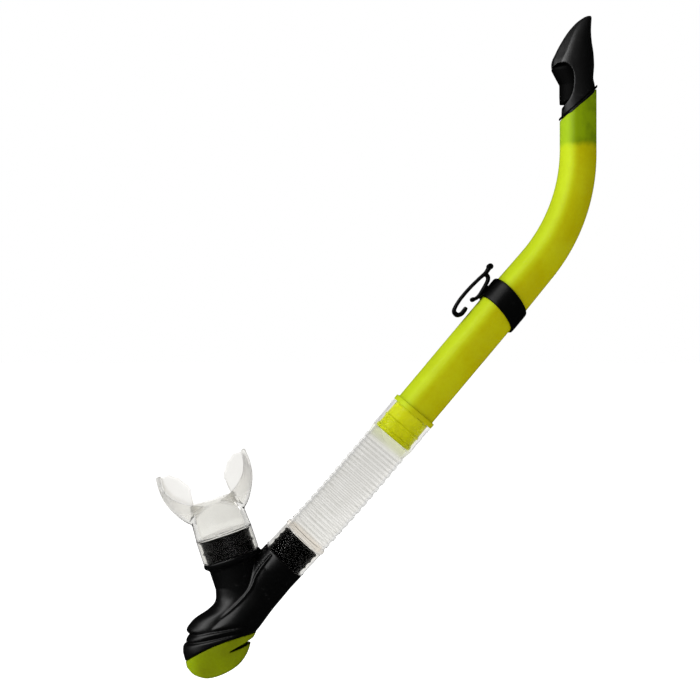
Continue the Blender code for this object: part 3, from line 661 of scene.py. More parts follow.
def barrel():
    """Tapering oval tube: ribbed spigot, collar, straight run, bend, and a slanted open top.

    Rings follow the axis; above the bend each ring's height runs from level to the slanted
    plane in equal shares, and the rim is rounded by a half circle over the wall.
    """
    around = 112
    spigot = [
        (BARREL_FOOT, SPIGOT_RADIUS - 1.8), (BARREL_FOOT, SPIGOT_RADIUS - 0.3),
        (BARREL_FOOT + 0.8, SPIGOT_RIB_RADIUS), (BARREL_FOOT + 2.2, SPIGOT_RIB_RADIUS),
        (BARREL_FOOT + 2.8, SPIGOT_RADIUS), (SPIGOT_RIB - 0.9, SPIGOT_RADIUS),
        (SPIGOT_RIB - 0.3, SPIGOT_RIB_RADIUS), (SPIGOT_RIB + 0.3, SPIGOT_RIB_RADIUS),
        (SPIGOT_RIB + 0.9, SPIGOT_RADIUS), (COLLAR_BASE, SPIGOT_RADIUS),
        (COLLAR_BASE, COLLAR_RADIUS), (COLLAR_TOP, COLLAR_RADIUS), (COLLAR_TOP, BARREL_RADIUS),
        (-60.0, BARREL_RADIUS),
    ]
    profile = filleted(spigot, 0.45)
    bend_end = BEND_START + BEND_RADIUS * (math.pi / 2 - BARREL_TILT)
    stations = np.concatenate([np.linspace(-58.0, 0.0, 30), np.linspace(1.5, bend_end, 60)])
    narrowing = np.interp(stations, [0.0, 12.0, BEND_START, bend_end], [0.0, 0.15, 0.35, 1.0])
    half_across = BARREL_RADIUS + (TOP_RADIUS - BARREL_RADIUS) * narrowing
    half_depth = BARREL_RADIUS + (TOP_DEPTH_RADIUS - BARREL_RADIUS) * narrowing
    foot = oval_rings(*barrel_axis(profile[:, 0]), profile[:, 1], profile[:, 1], around)
    body = oval_rings(*barrel_axis(stations), half_across, half_depth, around)

    def top(inset, share, drop=0.0):
        level = float(barrel_axis(bend_end)[0][2])
        ring = oval_rings(np.array([TOP_X, 0.0, 0.0]), math.pi / 2, TOP_RADIUS - inset,
                          TOP_DEPTH_RADIUS - inset, around)[0]
        cut = TOP_MIDDLE_Z + TOP_SLOPE * (ring[:, 0] - TOP_X) - drop
        ring[:, 2] = level + share * (cut - level)
        return ring

    drop, half_wall = 0.7, BARREL_WALL / 2.0
    rim = [top(half_wall - half_wall * math.cos(t), 1.0, drop * (1.0 - math.sin(t)))
           for t in np.linspace(0.0, math.pi, 9)]
    outer_top = [top(0.0, share, drop) for share in np.linspace(0.06, 0.97, 20)]
    inner_top = [top(BARREL_WALL, share, drop) for share in np.linspace(0.97, 0.06, 20)]
    bore = oval_rings(*barrel_axis(stations[::-1]), half_across[::-1] - BARREL_WALL,
                      half_depth[::-1] - BARREL_WALL, around)
    spigot_bore = SPIGOT_RADIUS - BARREL_WALL
    low = np.array([(COLLAR_TOP, BARREL_RADIUS - BARREL_WALL), (COLLAR_BASE, spigot_bore),
                    (BARREL_FOOT + 0.4, spigot_bore)])
    low_bore = oval_rings(*barrel_axis(low[:, 0]), low[:, 1], low[:, 1], around)
    rings = [foot, body, outer_top, rim, inner_top, bore, low_bore]
    return solid("barrel", np.concatenate(rings), wrap=True)


def hose():
    """Soft hose: bead-edged cuff, thirteen rounded ribs, and a long cuff with a rim bead.

    Each rib rises and falls by a smooth step in half of its pitch, and the bore follows it.
    """
    around = 112
    upper = filleted([
        (HOSE_TOP, CUFF_BORE), (HOSE_TOP, CUFF_BEAD), (HOSE_TOP - 2.2, CUFF_BEAD),
        (HOSE_TOP - 3.0, CUFF_RADIUS), (SPIGOT_RIB + 2.6, CUFF_RADIUS), (SPIGOT_RIB, CUFF_BEAD),
        (SPIGOT_RIB - 2.6, CUFF_RADIUS), (BARREL_FOOT + 4.0, CUFF_RADIUS),
        (BARREL_FOOT + 1.2, CUFF_BEAD), (HOSE_CUFF_END + 1.2, HOSE_VALLEY + 0.1),
        (HOSE_CUFF_END, HOSE_VALLEY)], 0.9, 5)
    pitch = (HOSE_CUFF_END - HOSE_CUFF_RIM) / HOSE_RIBS
    phase = np.linspace(0.0, HOSE_RIBS, HOSE_RIBS * 20, endpoint=False)[1:]
    lift = ramp(phase % 1.0, 0.02, 0.16) - ramp(phase % 1.0, 0.52, 0.66)
    ribbed = np.stack([HOSE_CUFF_END - phase * pitch, HOSE_CREST - 0.45 + 0.45 * lift], axis=1)
    foot = HOSE_CUFF_RIM - LOWER_CUFF
    lower = filleted([
        (HOSE_CUFF_RIM, HOSE_VALLEY), (HOSE_CUFF_RIM - 0.1, CUFF_BEAD + 0.1),
        (HOSE_CUFF_RIM - 2.2, CUFF_BEAD + 0.1), (HOSE_CUFF_RIM - 2.5, CUFF_RADIUS),
        (foot + 2.4, CUFF_RADIUS), (foot + 1.6, CUFF_BEAD), (foot, CUFF_BEAD),
        (foot, CUFF_BORE)], 0.4)
    port_top = foot + PORT_LENGTH + GAP + 0.4
    bore_ribs = np.stack([ribbed[::-1, 0], HOSE_BORE + 0.4 * lift[::-1]], axis=1)
    bore_low = np.array([(port_top, CUFF_BORE), (port_top + 0.4, HOSE_BORE)])
    bore_high = np.array([(BARREL_FOOT - GAP - 0.4, HOSE_BORE), (BARREL_FOOT - GAP, CUFF_BORE)])
    profile = np.vstack([upper, ribbed, lower, bore_low, bore_ribs, bore_high])
    station, radius = profile.T
    rings = oval_rings(*hose_axis(station), radius, radius, around)
    tube = solid("flex_hose_clear", rings, wrap=True)
    turns = (HOSE_CUFF_END - station) / pitch
    folded = ramp(turns, -0.1, 0.3) * ramp(turns, HOSE_RIBS + 0.1, HOSE_RIBS - 0.3)
    # Painted shade: a thin dark line along each rib's flank.
    painted_flank_shade = np.exp(-((turns * 2.0 - 0.18 + 0.5) % 1.0 - 0.5) ** 2 / 0.012)
    rim = np.exp(-((station - (HOSE_CUFF_RIM - 1.1)) / 1.5) ** 2)
    spigot = ramp(station, BARREL_FOOT - 9.0, BARREL_FOOT + 1.0)
    shade = np.ones((len(station), 3))
    over_spigot = ramp(station, BARREL_FOOT - 1.0, BARREL_FOOT + 1.0)
    painted_spigot_light = spigot * ramp(station, BARREL_FOOT + 2.0, BARREL_FOOT - 1.0)
    # Row tones as multipliers: painted shade on the rib flanks, a darker warm band on the lower
    # cuff's rim bead, paler over the spigot, and painted lime light round the spigot's foot, fading
    # down the hose.
    for share, tint in ((0.55 * folded * painted_flank_shade, (0.60, 0.60, 0.58)),
                        (0.75 * rim, (0.74, 0.66, 0.56)),
                        (-0.9 * over_spigot, (0.87, 0.87, 0.86)),
                        (painted_spigot_light, (0.90, 0.93, 0.70))):
        shade = shade * (1.0 + share[:, None] * (np.array(tint) - 1.0))
    return toned(tube, shade, around)


def keeper():
    """Ring between two oblique planes with rolled edges, a sprung clip, and its two beads."""
    bore, wall, half_length = BARREL_RADIUS + GAP, 1.2, 6.5
    turn = full_turn(96)
    section = filleted([(-1.0, 0.0), (-1.0, wall), (1.0, wall), (1.0, 0.0)], 0.35, 4)
    section = np.vstack([section, [(1.0, 0.0)]])
    radius = bore + section[:, 1]
    ends = section[:, 0] * half_length
    left = radius[:, None] * np.cos(turn)
    depth = radius[:, None] * np.sin(turn)
    shift = (ends[:, None] + math.tan(math.radians(9.4)) * left
             - math.tan(math.radians(12.0)) * depth)
    rings = (left[..., None] * across(BARREL_TILT) + depth[..., None] * DEPTH
             + shift[..., None] * along(BARREL_TILT))
    ring = solid("keeper_ring", rings, wrap=True)
    arm = curve_through(flat([
        (-7.4, 22.2), (-9.7, 18.7), (-13.4, 15.4), (-18.0, 10.9), (-21.8, 6.7), (-24.8, 2.9),
        (-27.1, -0.9), (-27.8, -3.4), (-26.2, -5.3), (-23.8, -4.8), (-21.8, -2.5),
        (-21.0, -1.0)]), 110)
    limb = curve_through(flat([
        (-10.9, 18.2), (-8.8, 16.9), (-8.5, 14.6), (-10.0, 11.4), (-11.9, 8.1), (-13.4, 5.8),
        (-15.3, 4.1), (-17.2, 3.4)]), 60)
    half_width = 5.5
    arm_half = np.interp(np.arange(len(arm)), [0, 20, 60, 80, 100, 109],
                         [1.3, 1.0, 1.0, 1.35, 1.2, 0.95])
    arm_bar = rod("clip_arm", arm, arm_half, half_width, 5.0)
    limb_bar = rod("clip_limb", limb, 1.05, half_width - 0.3, 5.0)
    beads = []
    for name, end, bead_radius in (("finger_bead", arm[0], 1.75), ("tail_bead", limb[-1], 1.35)):
        beads.append(prism(name, end + bead_radius * along(full_turn(24)), half_width + 0.2))
    root = bore + wall / 2.0
    foot = [(root, -5.2), (root, -1.6), (root + 1.9, -1.0), (root + 1.9, -4.8)]
    outline = np.array([n * across(BARREL_TILT) + s * along(BARREL_TILT) for n, s in foot])
    link_block = prism("clip_root", outline, half_width - 0.8)
    return moulded("strap_keeper_clip", [ring, arm_bar, limb_bar, *beads, link_block], [], 0.25, 4)


def upright_rings(levels, count, rows, shape):
    """Rings round an upright space; each value of a level runs smoothly between its knots.

    A level is left, right, half depth, middle height, slope, and the width of the front facet.
    """
    levels = np.array(levels, dtype=float)
    dense = curve_through(levels, rows)
    cosine, sine = superellipse(count, shape)
    left, right, depth, height, slope, facet = (dense[:, k:k + 1] for k in range(6))
    half, middle = (right - left) / 2.0, (right + left) / 2.0
    x = middle - half * cosine
    y = depth * sine
    facet = np.maximum(facet, 0.05)
    reach = np.clip(1.0 - facet / half, -1.0, 1.0)
    edge = depth * (1.0 - np.abs(reach) ** shape) ** (1.0 / shape)
    front = 0.35 * depth
    chord = front + (edge - front) * (x - left) / facet
    bevel = (x < left + facet) & (np.abs(y) > chord)
    y = np.where(bevel, np.sign(y) * chord, y)
    z = height + slope * (x - middle)
    return np.stack([x, y, z], axis=-1)


HOOD_LEVELS = [
    (34.0, 52.6, 12.2, 113.6, TOP_SLOPE, 0.2),
    (32.6, 52.1, 12.3, 118.6, 0.75, 0.6),
    (31.3, 51.4, 12.4, 124.2, 0.5, 1.2),
    (29.3, 51.7, 12.4, 131.0, 0.22, 3.0),
    (27.7, 51.9, 12.1, 137.4, 0.0, 4.8),
    (30.2, 51.5, 11.1, 144.0, 0.0, 5.2),
    (33.4, 50.6, 9.6, 150.0, 0.0, 4.4),
    (37.3, 50.2, 7.6, 156.0, 0.0, 3.0),
    (41.8, 50.4, 5.2, 161.0, 0.0, 1.4),
    (45.9, 50.6, 3.0, 164.0, 0.0, 0.5),
    (48.4, 50.3, 1.0, 165.1, 0.0, 0.1),
]


def guard_hood():
    """Leaning hood with a bevelled front, open below its overhang through an arch."""
    outer = upright_rings(HOOD_LEVELS, 96, 120, 2.35)
    inner_levels = [(a + 1.6, b - 1.6, c - 1.6, d - (1.5 if k == 0 else 0.0), e, max(f - 0.8, 0.1))
                    for k, (a, b, c, d, e, f) in enumerate(HOOD_LEVELS[:8])]
    inner = upright_rings(inner_levels, 96, 80, 2.35)
    shell = solid("hood_shell", np.concatenate([outer[::-1], inner[1:]]))
    arch = curve_through(flat([
        (27.3, 133.9), (29.2, 136.0), (31.7, 137.1), (35.3, 136.5), (38.1, 133.6), (39.3, 129.3),
        (39.1, 123.2), (38.2, 119.4), (36.6, 116.2), (34.4, 113.3)]), 48)
    outline = np.vstack([flat([(20.0, 133.0)]), arch, flat([(33.0, 100.0), (20.0, 100.0)])])
    cutter = prism("hood_arch", outline, 20.0)
    return moulded("guard_hood", [shell], [cutter], 0.36, 4)


def guard_base():
    """Stem, slanted plate on the barrel's rim, and a flared neck that ends under the roof."""
    wall = 1.2
    stem_across = TOP_RADIUS - BARREL_WALL - GAP
    stem_depth = TOP_DEPTH_RADIUS - BARREL_WALL - GAP
    low = TOP_MIDDLE_Z + GAP
    high = low + 1.5

    def ring(left, right, depth, height, slope=0.0):
        middle = np.array([(left + right) / 2.0, 0.0, 0.0])
        made = oval_rings(middle, math.pi / 2, (right - left) / 2.0, depth, 96)[0]
        made[:, 2] = height + slope * (made[:, 0] - middle[0])
        return made

    left, right = TOP_X - stem_across, TOP_X + stem_across
    plate = (TOP_X - TOP_RADIUS - 0.5, TOP_X + TOP_RADIUS + 0.5, TOP_DEPTH_RADIUS + 0.5)
    neck_right = TOP_X + 6.2
    neck_depth = 8.9
    neck = [(36.2, high, TOP_SLOPE), (36.2, 118.4, 0.64), (32.4, 118.5, 0.5), (32.2, 121.4, 0.3),
            (32.2, 125.4, 0.0), (30.0, 129.4, 0.0), (28.2, 132.8, 0.0), (27.6, 134.0, 0.0),
            (28.0, 135.2, 0.0), (30.6, 137.0, 0.0), (31.8, 139.0, 0.0)]
    outer = [ring(left, right, stem_depth, STEM_FOOT_Z),
             ring(left, right, stem_depth, low, TOP_SLOPE), ring(*plate, low, TOP_SLOPE),
             ring(*plate, high, TOP_SLOPE)]
    outer += [ring(x, neck_right, neck_depth, z, slope) for x, z, slope in neck]
    inner = [ring(left + wall, right - wall, stem_depth - wall, STEM_FOOT_Z),
             ring(left + wall, right - wall, stem_depth - wall, low - 1.0, TOP_SLOPE)]
    inner += [ring(x + wall, neck_right - wall, neck_depth - wall, z, slope)
              for x, z, slope in neck[1:]]
    tube = solid("base_tube", np.array(outer + inner[::-1]), wrap=True)
    return moulded("guard_base", [tube], [], 0.32, 3)


def chamber_rings(sections, count, rows, power, inset=0.0):
    """Sections between left and right outline points, each value run smoothly between knots."""
    dense = curve_through([(a[0], a[1], b[0], b[1], d) for a, b, d in sections], rows)
    left = np.stack([dense[:, 0], 0.0 * dense[:, 0], dense[:, 1]], axis=-1)
    right = np.stack([dense[:, 2], 0.0 * dense[:, 0], dense[:, 3]], axis=-1)
    span = right - left
    heading = np.arctan2(span[:, 2], span[:, 0]) + math.pi / 2
    half = np.linalg.norm(span, axis=1) / 2.0 - inset
    return oval_rings((left + right) / 2.0, heading, half, dense[:, 4] - inset, count, power), dense


TUBE_SECTIONS = [
    ((-180.8, -202.0), (-140.6, -185.3), 20.0),
    ((-182.2, -196.0), (-139.1, -183.6), 20.2),
    ((-181.0, -190.3), (-137.0, -180.9), 19.9),
    ((-177.2, -185.4), (-134.8, -177.9), 19.2),
    ((-171.0, -180.4), (-132.4, -174.6), 18.3),
    ((-164.9, -174.0), (-129.9, -171.4), 17.2),
    ((-158.5, -166.5), (-127.3, -168.3), 16.0),
    ((-152.0, -156.5), (-124.5, -165.0), 14.8),
    ((-141.4, -142.9), (-121.6, -161.5), 13.6),
]
SHOULDER_SECTIONS = [
    ((-176.5, -192.5), (-152.0, -192.0), 17.6),
    ((-177.4, -187.8), (-150.0, -185.0), 17.2),
    ((-180.2, -184.6), (-148.0, -180.5), 16.9),
    ((-178.4, -181.2), (-146.0, -176.0), 16.4),
    ((-175.2, -177.9), (-143.0, -171.0), 15.8),
    ((-168.2, -173.2), (-138.0, -165.0), 15.0),
    ((-163.9, -168.2), (-135.5, -159.0), 14.4),
    ((-163.6, -161.0), (-136.0, -152.0), 13.9),
]
RIDGE_LEDGES = (-192.6, -187.0)   # left height of each ledge
CREASE = [(-131.5, -140.8), (-136.5, -147.0), (-140.2, -153.0), (-142.6, -159.0), (-147.4, -165.2),
          (-153.2, -170.9), (-158.2, -175.1), (-163.9, -179.3), (-171.0, -183.0), (-177.0, -184.9)]


def raised(rings, drop=0.0):
    """Bends rings of the parting plane up at their front and back, and moves them down by drop."""
    rise = PARTING_RISE * (rings[..., 1:2] / PARTING_DEPTH) ** 2
    return rings + (drop - rise) * OUTFLOW


def crease_bead(rings, side):
    """Thin round bead on the tube's surface along the crease, on one side of y = 0.

    The depth at a point of the crease is the distance-weighted mean of the nearest ring points.
    """
    path = curve_through(flat(CREASE), 60)
    surface = rings.reshape(-1, 3)
    surface = surface[surface[:, 1] * side > 0.0]
    apart = np.hypot(path[:, None, 0] - surface[None, :, 0], path[:, None, 2] - surface[None, :, 2])
    nearest = np.argsort(apart, axis=1)[:, :6]
    weight = 1.0 / (np.take_along_axis(apart, nearest, axis=1) + 0.05)
    depth = np.sum(surface[nearest, 1] * weight, axis=1) / np.sum(weight, axis=1)
    smooth = np.convolve(np.pad(depth, 3, mode="edge"), np.full(7, 1.0 / 7.0), mode="valid")
    path[:, 1] = smooth - 0.15 * side
    step = unit(np.gradient(path, axis=0))
    first = unit(np.cross(step, DEPTH))
    second = np.cross(step, first)
    turn = full_turn(16)
    radius = 0.9 * np.interp(np.arange(60), [0, 8, 50, 59], [0.5, 1.0, 1.0, 0.5])[:, None, None]
    tube = np.cos(turn)[:, None] * first[:, None, :] + np.sin(turn)[:, None] * second[:, None, :]
    return solid("crease_bead", path[:, None, :] + radius * tube)


def housing():
    """Y-shaped chamber: swept tube, shoulder below the neck, two ribbed ports and an open foot.

    The ledges on the left step in by 2.2 mm and ease out again upwards, exp(-height / 1.9 mm),
    fading towards the right. A bead follows the crease between tube and shoulder.
    """
    rings, dense = chamber_rings(TUBE_SECTIONS, 96, 110, 2.3)
    foot_share = ramp(np.linspace(0.0, 1.0, len(rings)), 0.12, 0.0)[:, None, None]
    rings = rings + (raised(rings) - rings) * foot_share
    leftness = ramp(np.cos(full_turn(96)), -0.75, 0.15)
    inward = unit(rings.mean(axis=1, keepdims=True) - rings)
    for ledge in RIDGE_LEDGES:
        above = dense[:, 1] - ledge
        step_in = ramp(above, -0.4, 0.4) * np.exp(-np.maximum(above, 0.0) / 1.9)
        rings = rings + (2.2 * step_in[:, None] * leftness[None, :])[..., None] * inward
    tube = solid("tube_body", rings)
    shoulder = solid("shoulder", chamber_rings(SHOULDER_SECTIONS, 96, 60, 2.2)[0])
    beads = [crease_bead(rings, side) for side in (-1.0, 1.0)]
    port = [(-14.0, 4.0), (-14.0, PORT_SHOULDER), (0.0, PORT_SHOULDER), (0.0, SPIGOT_RADIUS)]
    for rib in (4.2, 8.6, PORT_LENGTH - 1.6):
        port += [(rib, SPIGOT_RADIUS), (rib + 0.5, SPIGOT_RIB_RADIUS),
                 (rib + 1.2, SPIGOT_RIB_RADIUS), (rib + 1.6, SPIGOT_RADIUS)]
    port = filleted(port, 0.3, 3)
    neck = [(-24.0, 4.0), (-24.0, NECK_RADIUS), (-3.2, NECK_RADIUS), (-1.3, 16.75), (1.0, 16.75),
            (1.0, 14.3), (6.2, 14.3), (6.5, 15.1), (7.2, 15.1), (7.5, 14.3), (12.9, 14.3),
            (13.2, 15.1), (14.3, 15.1)]
    neck = filleted(neck, 0.35, 3)
    hose_port = turned("hose_port", PORT_BASE, PORT_TILT, port)
    mouth_port = turned("mouth_port", NECK_FLANGE_CENTRE, NECK_TILT, neck)
    middle = (PARTING_LEFT + PARTING_RIGHT) / 2.0
    drops = np.array([6.0, -8.0])
    throat = oval_rings(middle + drops[:, None] * OUTFLOW, np.full(2, PURGE_TILT + math.pi / 2),
                        np.full(2, 18.6), np.full(2, 17.3), 96)
    hollow = chamber_rings(TUBE_SECTIONS[3:8], 96, 24, 2.3, 2.3)[0]
    hollow_cut = solid("chamber_hollow", np.concatenate([throat, hollow]))
    port_cut = turned("port_bore", PORT_BASE, PORT_TILT, [(-26.0, 9.6), (PORT_LENGTH + 3.0, 9.6)])
    neck_cut = turned("neck_bore", NECK_FLANGE_CENTRE, NECK_TILT,
                      [(-23.0, 10.8), (NECK_LENGTH + 3.0, 10.8)])
    return moulded("purge_housing", [tube, shoulder, hose_port, mouth_port, *beads],
                   [hollow_cut, port_cut, neck_cut], 0.42, 4)


def port_finish(piece, material):
    """Gives the two ports, whose faces lie beyond the shoulder and the flange, their own finish."""
    piece.data.materials.append(material)
    faces = piece.data.polygons
    centres = np.zeros(3 * len(faces), dtype=np.float32)
    faces.foreach_get("center", centres)
    centres = centres.reshape(-1, 3) / MM
    beyond_neck = (centres - NECK_FLANGE_CENTRE) @ BITE_ALONG > 1.1
    beyond_shoulder = (centres - PORT_BASE) @ along(PORT_TILT) > 0.1
    faces.foreach_set("material_index", (beyond_neck | beyond_shoulder).astype(np.int32))


COVER_LEVELS = [   # depth below the parting line, left and right along it, half depth
    (0.0, 0.0, 43.6, 20.0), (2.0, -0.4, 41.4, 19.8), (4.2, -0.5, 38.8, 19.2),
    (8.7, 1.1, 35.1, 17.2), (11.9, 4.1, 31.1, 14.4), (13.9, 7.2, 26.9, 11.0),
    (14.9, 11.1, 22.4, 6.8), (15.35, 15.0, 18.6, 2.0),
]


def purge_cover():
    """Skewed dome that closes the chamber's foot, with a slit for water on its right."""
    heading = PURGE_TILT + math.pi / 2

    def rings(levels, rows, inset):
        dense = curve_through(levels, rows)
        middle = PARTING_LEFT + ((dense[:, 1] + dense[:, 2]) / 2.0)[:, None] * along(PURGE_TILT)
        middle = middle + dense[:, :1] * OUTFLOW
        half = (dense[:, 2] - dense[:, 1]) / 2.0 - inset
        made = oval_rings(middle, np.full(rows, heading), half, dense[:, 3] - inset, 112, 2.15)
        share = ramp(dense[:, 0], 8.0, 0.0)[:, None, None]
        return made + (raised(made, GAP) - made) * share

    outer = rings(COVER_LEVELS, 60, 0.0)
    inner = rings(COVER_LEVELS[:6], 40, 1.8)
    shell = solid("cover_shell", np.concatenate([outer[::-1], inner]))
    upper = curve_through([(24.4, 3.4), (30.0, 2.9), (37.0, 2.6), (50.0, 2.2)], 16)
    lower = curve_through([(50.0, 6.6), (38.0, 5.0), (31.0, 4.3), (24.4, 3.6)], 16)
    lips = np.vstack([upper, lower])
    outline = PARTING_LEFT + lips[:, :1] * along(PURGE_TILT) + lips[:, 1:] * OUTFLOW
    slit = prism("slit", outline, 24.0)
    return moulded("purge_cover_lime", [shell], [slit], 0.36, 3)


def mouth():
    """Soft cuff and duct that flare into a scooped bite flange with two biting lugs.

    The flange's section is carried along the U of its rim; its middle stands out from the rim
    by a scoop that is deepest over the duct, as 1 - (y / half height)^2 of it.
    """
    def duct(name, sections):
        reach, half_across, half_depth = np.array(sections).T
        centres = NECK_FLANGE_CENTRE + reach[:, None] * BITE_ALONG
        tilts = np.full(len(reach), NECK_TILT)
        return solid(name, oval_rings(centres, tilts, half_across, half_depth, 72))

    cuff = duct("cuff", [
        (1.3, 16.2, 16.2), (1.6, 16.5, 16.5), (15.0, 16.4, 16.4), (18.0, 16.1, 15.6),
        (21.7, 15.9, 14.2), (26.0, 15.6, 12.6), (31.0, 14.4, 11.2), (35.0, 13.3, 10.4)])
    rim = [(0.0, 34.0), (6.5, 34.9), (12.0, 37.0), (17.0, 40.2), (21.2, 44.6), (23.6, 50.2),
           (24.4, 57.0)]
    rim = [(-q, p) for q, p in rim[:0:-1]] + rim
    count = 121
    path = curve_through([q * BITE_RIGHT + p * BITE_ALONG for q, p in rim], count)
    path = path + NECK_FLANGE_CENTRE
    step = unit(np.gradient(path, axis=0))
    outward = np.stack([step[:, 2], np.zeros(count), -step[:, 0]], axis=1)
    share = np.abs(np.linspace(-1.0, 1.0, count))
    scoop = curve_through([[11.5], [11.4], [10.1], [7.0], [4.0], [1.7], [0.2]], 61)[:, 0]
    scoop = np.concatenate([scoop[:0:-1], scoop])
    taper = np.interp(share, [0.0, 0.85, 0.93, 0.98, 1.0], [1.0, 1.0, 0.88, 0.68, 0.5])
    half_height = 11.0
    heights = np.linspace(-half_height, half_height, 23)
    thick = np.sqrt(1.0 - (np.abs(heights) / 11.5) ** 12)
    bulge = 1.0 - (heights / half_height) ** 2
    near = scoop[:, None] * bulge[None, :] + 0.95 - thick[None, :]
    far = scoop[:, None] * bulge[None, :] + 0.95 + thick[None, :]
    loops = []
    for offset, order in ((far, slice(None)), (near, slice(None, None, -1))):
        rows = path[:, None, :] + offset[:, order, None] * outward[:, None, :]
        loops.append(rows + (heights[order][None, :] * taper[:, None])[..., None] * DEPTH)
    flange = solid("flange", np.concatenate(loops, axis=1))
    lugs = []
    for side in (slice(2, 43), slice(count - 43, count - 2)):
        spine = path[side]
        ends = np.linspace(0.0, 1.0, len(spine))
        ends = ends if side.start < count // 2 else ends[::-1]
        reach = np.interp(ends, [0.0, 0.14, 0.4, 0.7, 0.9, 1.0], [5.2, 9.2, 9.9, 9.6, 7.0, 2.5])
        root, half_depth = 1.6, 2.6
        middle = spine + ((root - reach) / 2.0)[:, None] * outward[side]
        half = (reach + root) / 2.0
        cosine, sine = superellipse(28, 5.0)
        rings = middle[:, None, :] + (half[:, None] * cosine)[..., None] * outward[side][:, None, :]
        lugs.append(solid("lug", rings + (half_depth * sine)[None, :, None] * DEPTH))
    passage = duct("air_passage", [
        (-2.0, 15.5, 15.5), (14.8, 15.5, 15.5), (15.2, 13.4, 13.4), (20.0, 13.5, 12.4),
        (26.0, 12.9, 9.8), (31.0, 12.0, 8.4), (44.0, 11.0, 7.6)])
    return moulded("mouthpiece_clear", [cuff, flange, *lugs], [passage], 0.42, 12)


# ---------------------------------------------------------------- studio

GLOSSY_DULLING = 0.25    # share of the white surround lost after a reflection


def studio():
    """Pale floor, four soft lights, a white surround and the camera.

    Floor and surround are dark to glossy rays and paler after each reflection, so that black
    stays black; what refracted rays see stays white.
    """
    scene = bpy.context.scene
    scene.view_settings.view_transform = "Standard"
    low = float(cad_box[0][2]) - 0.03    # clear of the chamber when the hose bends down
    radius = 30.0
    turn = full_turn(96)
    ring = np.stack([radius * np.cos(turn), radius * np.sin(turn), np.full(96, low)], axis=1)
    mesh = bpy.data.meshes.new("floor")
    mesh.from_pydata(ring.tolist(), [], [list(range(96))])
    floor = standing("floor", mesh)
    material, tree, shader = plain_shader("pale floor")
    shade = spread(tree, noise(tree, object_place(tree), 2.0, 3.0), 0.3, 0.7)
    base = mixed(tree, shade, (0.93, 0.93, 0.93), (0.96, 0.96, 0.955))
    link(tree, base, shader.inputs["Base Color"])
    set_inputs(shader, Roughness=0.9, Specular_IOR_Level=0.0, Emission_Color=(1.0, 1.0, 1.0, 1.0),
               Emission_Strength=0.66)
    rays = add(tree, "ShaderNodeLightPath").outputs
    dull = set_inputs(add(tree, "ShaderNodeEmission"), Strength=0.01)
    split = add(tree, "ShaderNodeMixShader")
    mirrored = sum_of(tree, rays["Is Glossy Ray"], rays["Is Transmission Ray"], "SUBTRACT")
    dulled = sum_of(tree, rays["Glossy Depth"], GLOSSY_DULLING, "MULTIPLY")
    after = sum_of(tree, mirrored, dulled, "MAXIMUM")
    link(tree, after, split.inputs["Fac"])
    link(tree, shader.outputs["BSDF"], split.inputs[1])
    link(tree, dull.outputs["Emission"], split.inputs[2])
    link(tree, split.outputs["Shader"], tree.nodes["Material Output"].inputs["Surface"])
    floor.data.materials.append(material)

    world = bpy.data.worlds.new("studio")
    scene.world = world
    world.use_nodes = True
    tree = world.node_tree
    tree.nodes.clear()
    out = add(tree, "ShaderNodeOutputWorld")
    rays = add(tree, "ShaderNodeLightPath").outputs
    dulled = sum_of(tree, rays["Glossy Depth"], GLOSSY_DULLING, "MULTIPLY")
    through = sum_of(tree, rays["Is Transmission Ray"], dulled, "SUBTRACT")
    seen = sum_of(tree, rays["Is Camera Ray"], through, "MAXIMUM")
    bright = set_inputs(add(tree, "ShaderNodeBackground"), Color=(1.0, 1.0, 1.0, 1.0))
    dim = add(tree, "ShaderNodeBackground")
    glossy = sum_of(tree, rays["Is Glossy Ray"], 0.54, "MULTIPLY")
    link(tree, sum_of(tree, 0.55, glossy, "SUBTRACT"), dim.inputs["Strength"])
    mix = add(tree, "ShaderNodeMixShader")
    link(tree, seen, mix.inputs["Fac"])
    link(tree, dim.outputs["Background"], mix.inputs[1])
    link(tree, bright.outputs["Background"], mix.inputs[2])
    link(tree, mix.outputs["Shader"], out.inputs["Surface"])

    centre = Vector((-0.06, 0.0, -0.02))
    for name, place, size, power in (
            ("key softbox", (-0.95, -0.75, 0.75), (0.9, 1.2), 11.0),
            ("front fill", (0.1, -1.4, 0.2), (1.0, 1.0), 2.5),
            ("rear rim", (0.7, 1.0, 0.7), (0.7, 0.7), 3.0),
            ("left glow", (-1.5, -0.35, 0.35), (1.0, 1.6), 9.0)):
        lamp = bpy.data.lights.new(name, "AREA")
        lamp.shape = "RECTANGLE"
        lamp.size, lamp.size_y = size
        lamp.energy = power
        holder = standing(name, lamp)
        holder.location = place
        holder.rotation_euler = (centre - Vector(place)).to_track_quat("-Z", "Y").to_euler()
        holder.visible_glossy = name in ("key softbox", "left glow")
        holder.visible_diffuse = name != "left glow"

    camera = bpy.data.cameras.new("camera")
    camera.lens = 99.25
    camera.sensor_width = 36.0
    scene.camera = standing("camera", camera)
    scene.camera.location = (-0.0871, -1.1, -0.0253)
    scene.camera.rotation_euler = (math.pi / 2, 0.0, 0.0)


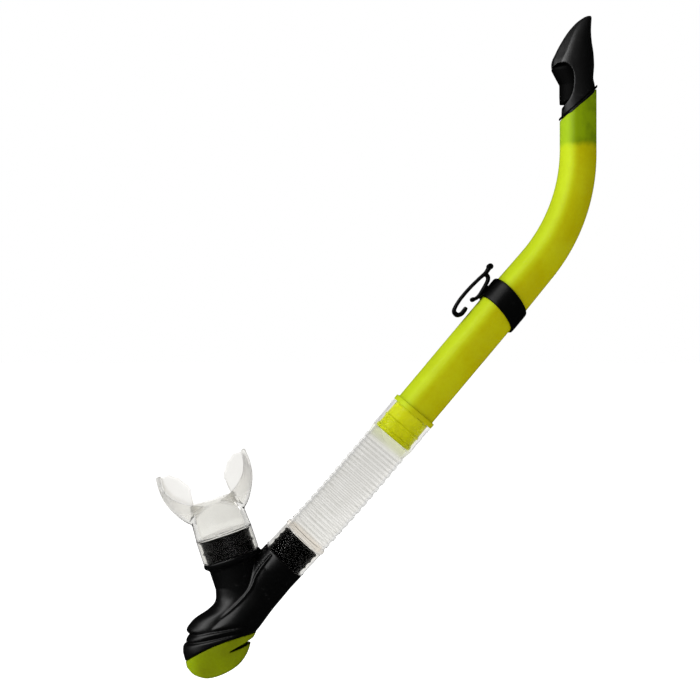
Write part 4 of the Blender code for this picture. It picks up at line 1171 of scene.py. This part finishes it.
def main():
    studio()
    dark = (0.0008, 0.0008, 0.0008)
    housing_black = black_plastic("housing black", 0.34, 0.1, 2500.0, (0.0008, 0.0008, 0.0009),
                                  0.36)
    guard_black = black_plastic("guard black", 0.47, 0.1, 3500.0, (0.0010, 0.0010, 0.0011), 0.8)
    port_black = black_plastic("port black", 0.45, 0.05, 2500.0, (0.0012, 0.0012, 0.0014), 0.05)
    # A darker, almost glossless copy of the guard's black: painted shade on the guard's neck under
    # the hood.
    shaded_neck_black = black_plastic("guard neck painted shade black", 0.55, 0.05, 3500.0, dark, 0.05)
    clip_black = black_plastic("clip black", 0.33, 0.1, 3500.0, dark, 0.15)
    seat_black = black_plastic("seat black", 0.5, 0.05, 3500.0, (0.004, 0.004, 0.0045), 0.2)
    hose_clear = clear_silicone(
        "hose silicone", ((0.80, 0.795, 0.775), (0.83, 0.825, 0.81)), (0.62, 0.61, 0.58),
        (0.04, 0.09), 1800.0, 0.002, 1.07, toned_rows=True)
    mouth_clear = frosted_mouthpiece(
        "mouthpiece silicone", (0.80, 0.795, 0.77), (0.80, 0.79, 0.765), (0.62, 0.60, 0.55))
    valve_clear = clear_silicone(
        "valve silicone", ((0.80, 0.79, 0.75), (0.86, 0.85, 0.81)), (0.6, 0.59, 0.56),
        (0.25, 0.4), 1500.0, 0.1, 1.3)

    dress(barrel(), lime_barrel(), "barrel_tube", "barrel")
    dress(guard_hood(), guard_black, "splash_guard_hood", "barrel", None)
    dress(guard_base(), shaded_neck_black, "splash_guard_base", "barrel", None)
    dress(keeper(), clip_black, "strap_keeper", "keeper", None)
    chamber = dress(housing(), housing_black, "lower_housing", "housing", None)
    port_finish(chamber, port_black)
    dress(purge_cover(), lime_cover(), "purge_cover", "housing", None)
    dress(mouth(), mouth_clear, "mouthpiece", "mouthpiece", None)
    tube = dress(hose(), hose_clear, "flex_hose", None)
    tuple(hose_axis(HOSE_CUFF_END)[0] * MM)
    tuple(hose_axis(HOSE_CUFF_RIM)[0] * MM)
    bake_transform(tube)
    for node, material in (("purge_valve_seat", seat_black), ("purge_valve", valve_clear)):
        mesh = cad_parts[node].data
        for k in range(max(len(mesh.materials), 1)):
            if len(mesh.materials) > k:
                mesh.materials[k] = material
            else:
                mesh.materials.append(material)


main()
